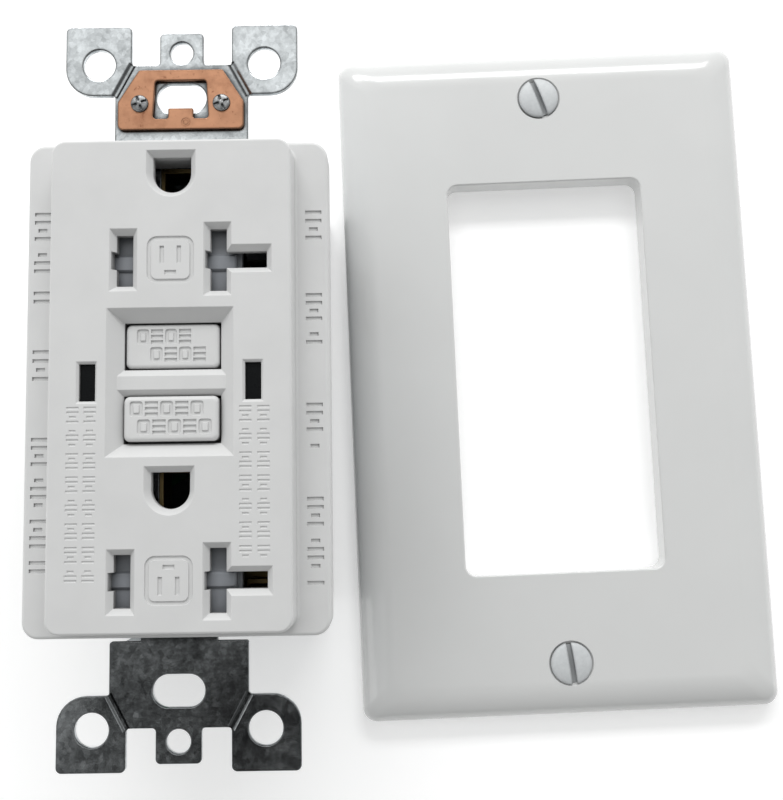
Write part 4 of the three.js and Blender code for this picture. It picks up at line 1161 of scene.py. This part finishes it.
def wall_plate():
    """The shell with its rolled rim, and the frame of its opening with the seats of the screws."""
    width, length, height, roll, skin, corner = PLATE.values()

    def edge(inset, radius=corner):
        return rectangle(width - 2 * inset, length - 2 * inset, radius, steps=14)

    foot, wall_top = 0.25, 2
    front = [(0, edge(foot)), (foot, edge(0))]
    front += [(wall_top + (height - wall_top) * s, edge(roll * c)) for s, c in quarter(20)]
    inner_top = height - skin
    hollow = [(-1, edge(skin, 1))]
    hollow += [(1.2 + (inner_top - 1.2) * s, edge(skin + (roll - 1) * c, 1)) for s, c in quarter(10)]
    plate = cut(loft(front), loft(hollow))
    opening = growing(*PLATE_OPENING.values(), steps=12)
    frame_foot, frame_top, frame_wall, soft, above = 1.4, height - 0.5, 1.3, 0.3, height + 1
    join(
        plate,
        prism(opening(frame_wall), frame_foot, frame_top),
        *[rod("z", 4.2, frame_foot, frame_top, 0, end * PLATE_SCREW_Y) for end in (1, -1)],
    )
    lip = [(height - soft * (1 - s), soft * c) for s, c in quarter(5)]
    sink = [(0, -1), (1.95, -1), (1.95, 3.6), (3.6, 5.35), (3.75, height), (3.85, above), (0, above)]
    sinks = [shift(turned(sink, 64), y=end * PLATE_SCREW_Y) for end in (1, -1)]
    cut(plate, stack([(-1, 0), *lip, (above, soft)], opening), *sinks)
    place(move(plate, PLATE_PLACE), "wall_plate")


def plate_screw(node, end, slot_angle):
    """An oval-head screw: shallow dome over the countersunk cone, with a driving slot."""
    shank, rim, rim_height, crown = 1.5, 3.45, 5.55, 0.75
    angles = [pi / 2 * i / 10 for i in range(10)]
    body = turned([
        (0, 0.3), (1.1, 0.3),
        *threads(shank, 1.2, 0.6, 3.2, 0.5),
        (shank, 3.5), (rim - 0.05, 5.4),
        *[(rim * cos(a), rim_height + crown * sin(a)) for a in angles],
        (0, rim_height + crown),
    ], 64)
    cut(body, block(0, 0, 0.85, 9, 5.15, 7))
    ease(body, 0.05)
    seat = PLATE_PLACE @ at(0, end * PLATE_SCREW_Y, 0)
    place(move(body, seat @ spin(slot_angle)), node, finish="satin_nickel")


# ---------------- build

front_cover()
button("test_button")
button("reset_button")
light_pipe("left_window", -1)
light_pipe("right_window", 1)
for receptacle, blade_line in BLADE_LINES.items():
    shutter(f"{receptacle}_shutter", blade_line)
mounting_strap()
ground_clip()
clip_rivet("clip_rivet_left", -1)
clip_rivet("clip_rivet_right", 1)
rear_cover()
for corner_name in ("upper_right", "upper_left", "lower_left", "lower_right"):
    housing_screw(f"housing_screw_{corner_name}")
for circuit, side in (("hot", -1), ("neutral", 1)):
    for end_name, y in (("line", -TERMINAL["y"]), ("load", TERMINAL["y"])):
        binder_screw(f"{end_name}_{circuit}_screw", 6.3, side_terminal(side, y, 0.3), 0.4)
        clamp_plate(f"{end_name}_{circuit}_clamp", side_terminal(side, y, -2.7))
ground_seat = at(GROUND_TAB["x"], GROUND_TAB["back"] - 0.15, GROUND_TAB["z"])
binder_screw("ground_screw", 2.6, ground_seat @ spin(pi / 2, "X"))
springs()
wall_plate()
plate_screw("plate_screw_upper", 1, 0.33)
plate_screw("plate_screw_lower", -1, 0.11)

for node, obj in frame["nodes"].items():
    if not obj.hide_render:
        keep(node)

# ---------------- floor, light and camera


# Strength of the surround at the -Y and +Y sides; direction from the object to the viewer.
ROOM_LIGHT = (0.34, 0.88)
VIEWER_DIRECTION = Vector((-0.11, -0.22, 0.97)).normalized()

CAMERA = {"place": (29.53, -15.19, 176.32), "lens": 45.45, "pitch": -0.0914, "yaw": 0.0002, "roll": 0.0145}


def stage_floor():
    floor = prism(rectangle(6000, 6000), -20, -0.02)
    floor.name = "bench"
    finish = Finish()
    finish.material.name = "bench"
    finish.set("Base Color", finish.mix(finish.noise(90), (0.93, 0.93, 0.93), (0.95, 0.95, 0.95)))
    finish.set("Roughness", 0.85)
    finish.set("Specular IOR Level", 0.2)
    finish.set("Emission Color", (1.0, 1.0, 1.0))
    finish.set("Emission Strength", 0.28)
    floor.data.materials.append(finish.material)


def world_light():
    """A soft room: brighter towards +Y, dim towards -Y, with a dark patch where the viewer stands."""
    world = bpy.data.worlds.new("surround")
    bpy.context.scene.world = world
    world.use_nodes = True
    tree = NodeTree(world.node_tree)
    direction = tree.add("TexCoord", {}, "Generated")
    side = tree.add("SeparateXYZ", {0: direction}, "Y")
    room = tree.spread(side, *ROOM_LIGHT, -0.6, 0.5, "SMOOTHSTEP")
    patch_rim, patch_core = (cos(radians(angle)) for angle in (16, 11))
    towards = tree.dot(direction, VIEWER_DIRECTION)
    viewer = tree.spread(towards, 1, 0.03, patch_rim, patch_core, "SMOOTHSTEP")
    background = world.node_tree.nodes["Background"]
    tree.put(background.inputs["Color"], (0.992, 1, 0.996))
    tree.put(background.inputs["Strength"], tree.multiply(room, viewer))


def softbox(name, location, size, power):
    """A rectangular lamp that points at the middle of the scene."""
    data = bpy.data.lights.new(name, "AREA")
    data.shape = "RECTANGLE"
    data.size, data.size_y = (s * MM for s in size)
    data.energy = power
    lamp = add_object(name, data)
    lamp.location = Vector(location) * MM
    aim = Vector((25, 0, 30)) - Vector(location)
    lamp.rotation_mode = "QUATERNION"
    lamp.rotation_quaternion = aim.to_track_quat("-Z", "Y")


def camera():
    data = bpy.data.cameras.new("camera")
    data.lens = CAMERA["lens"]
    data.sensor_width = 36
    data.clip_start = 0.01
    data.clip_end = 20
    obj = add_object("camera", data)
    roll = Matrix.Rotation(CAMERA["roll"], 3, "Z")
    tilt = roll @ Matrix.Rotation(CAMERA["yaw"], 3, "Y") @ Matrix.Rotation(CAMERA["pitch"], 3, "X")
    eye = Vector(CAMERA["place"]) * MM
    obj.matrix_world = Matrix.Translation(eye) @ tilt.transposed().to_4x4()
    bpy.context.scene.camera = obj


stage_floor()
world_light()
softbox("window", (30, 500, 420), (620, 130), 2.2)
softbox("fill", (-420, -60, 240), (300, 260), 0.22)
camera()
bpy.context.scene.view_settings.view_transform = "Standard"
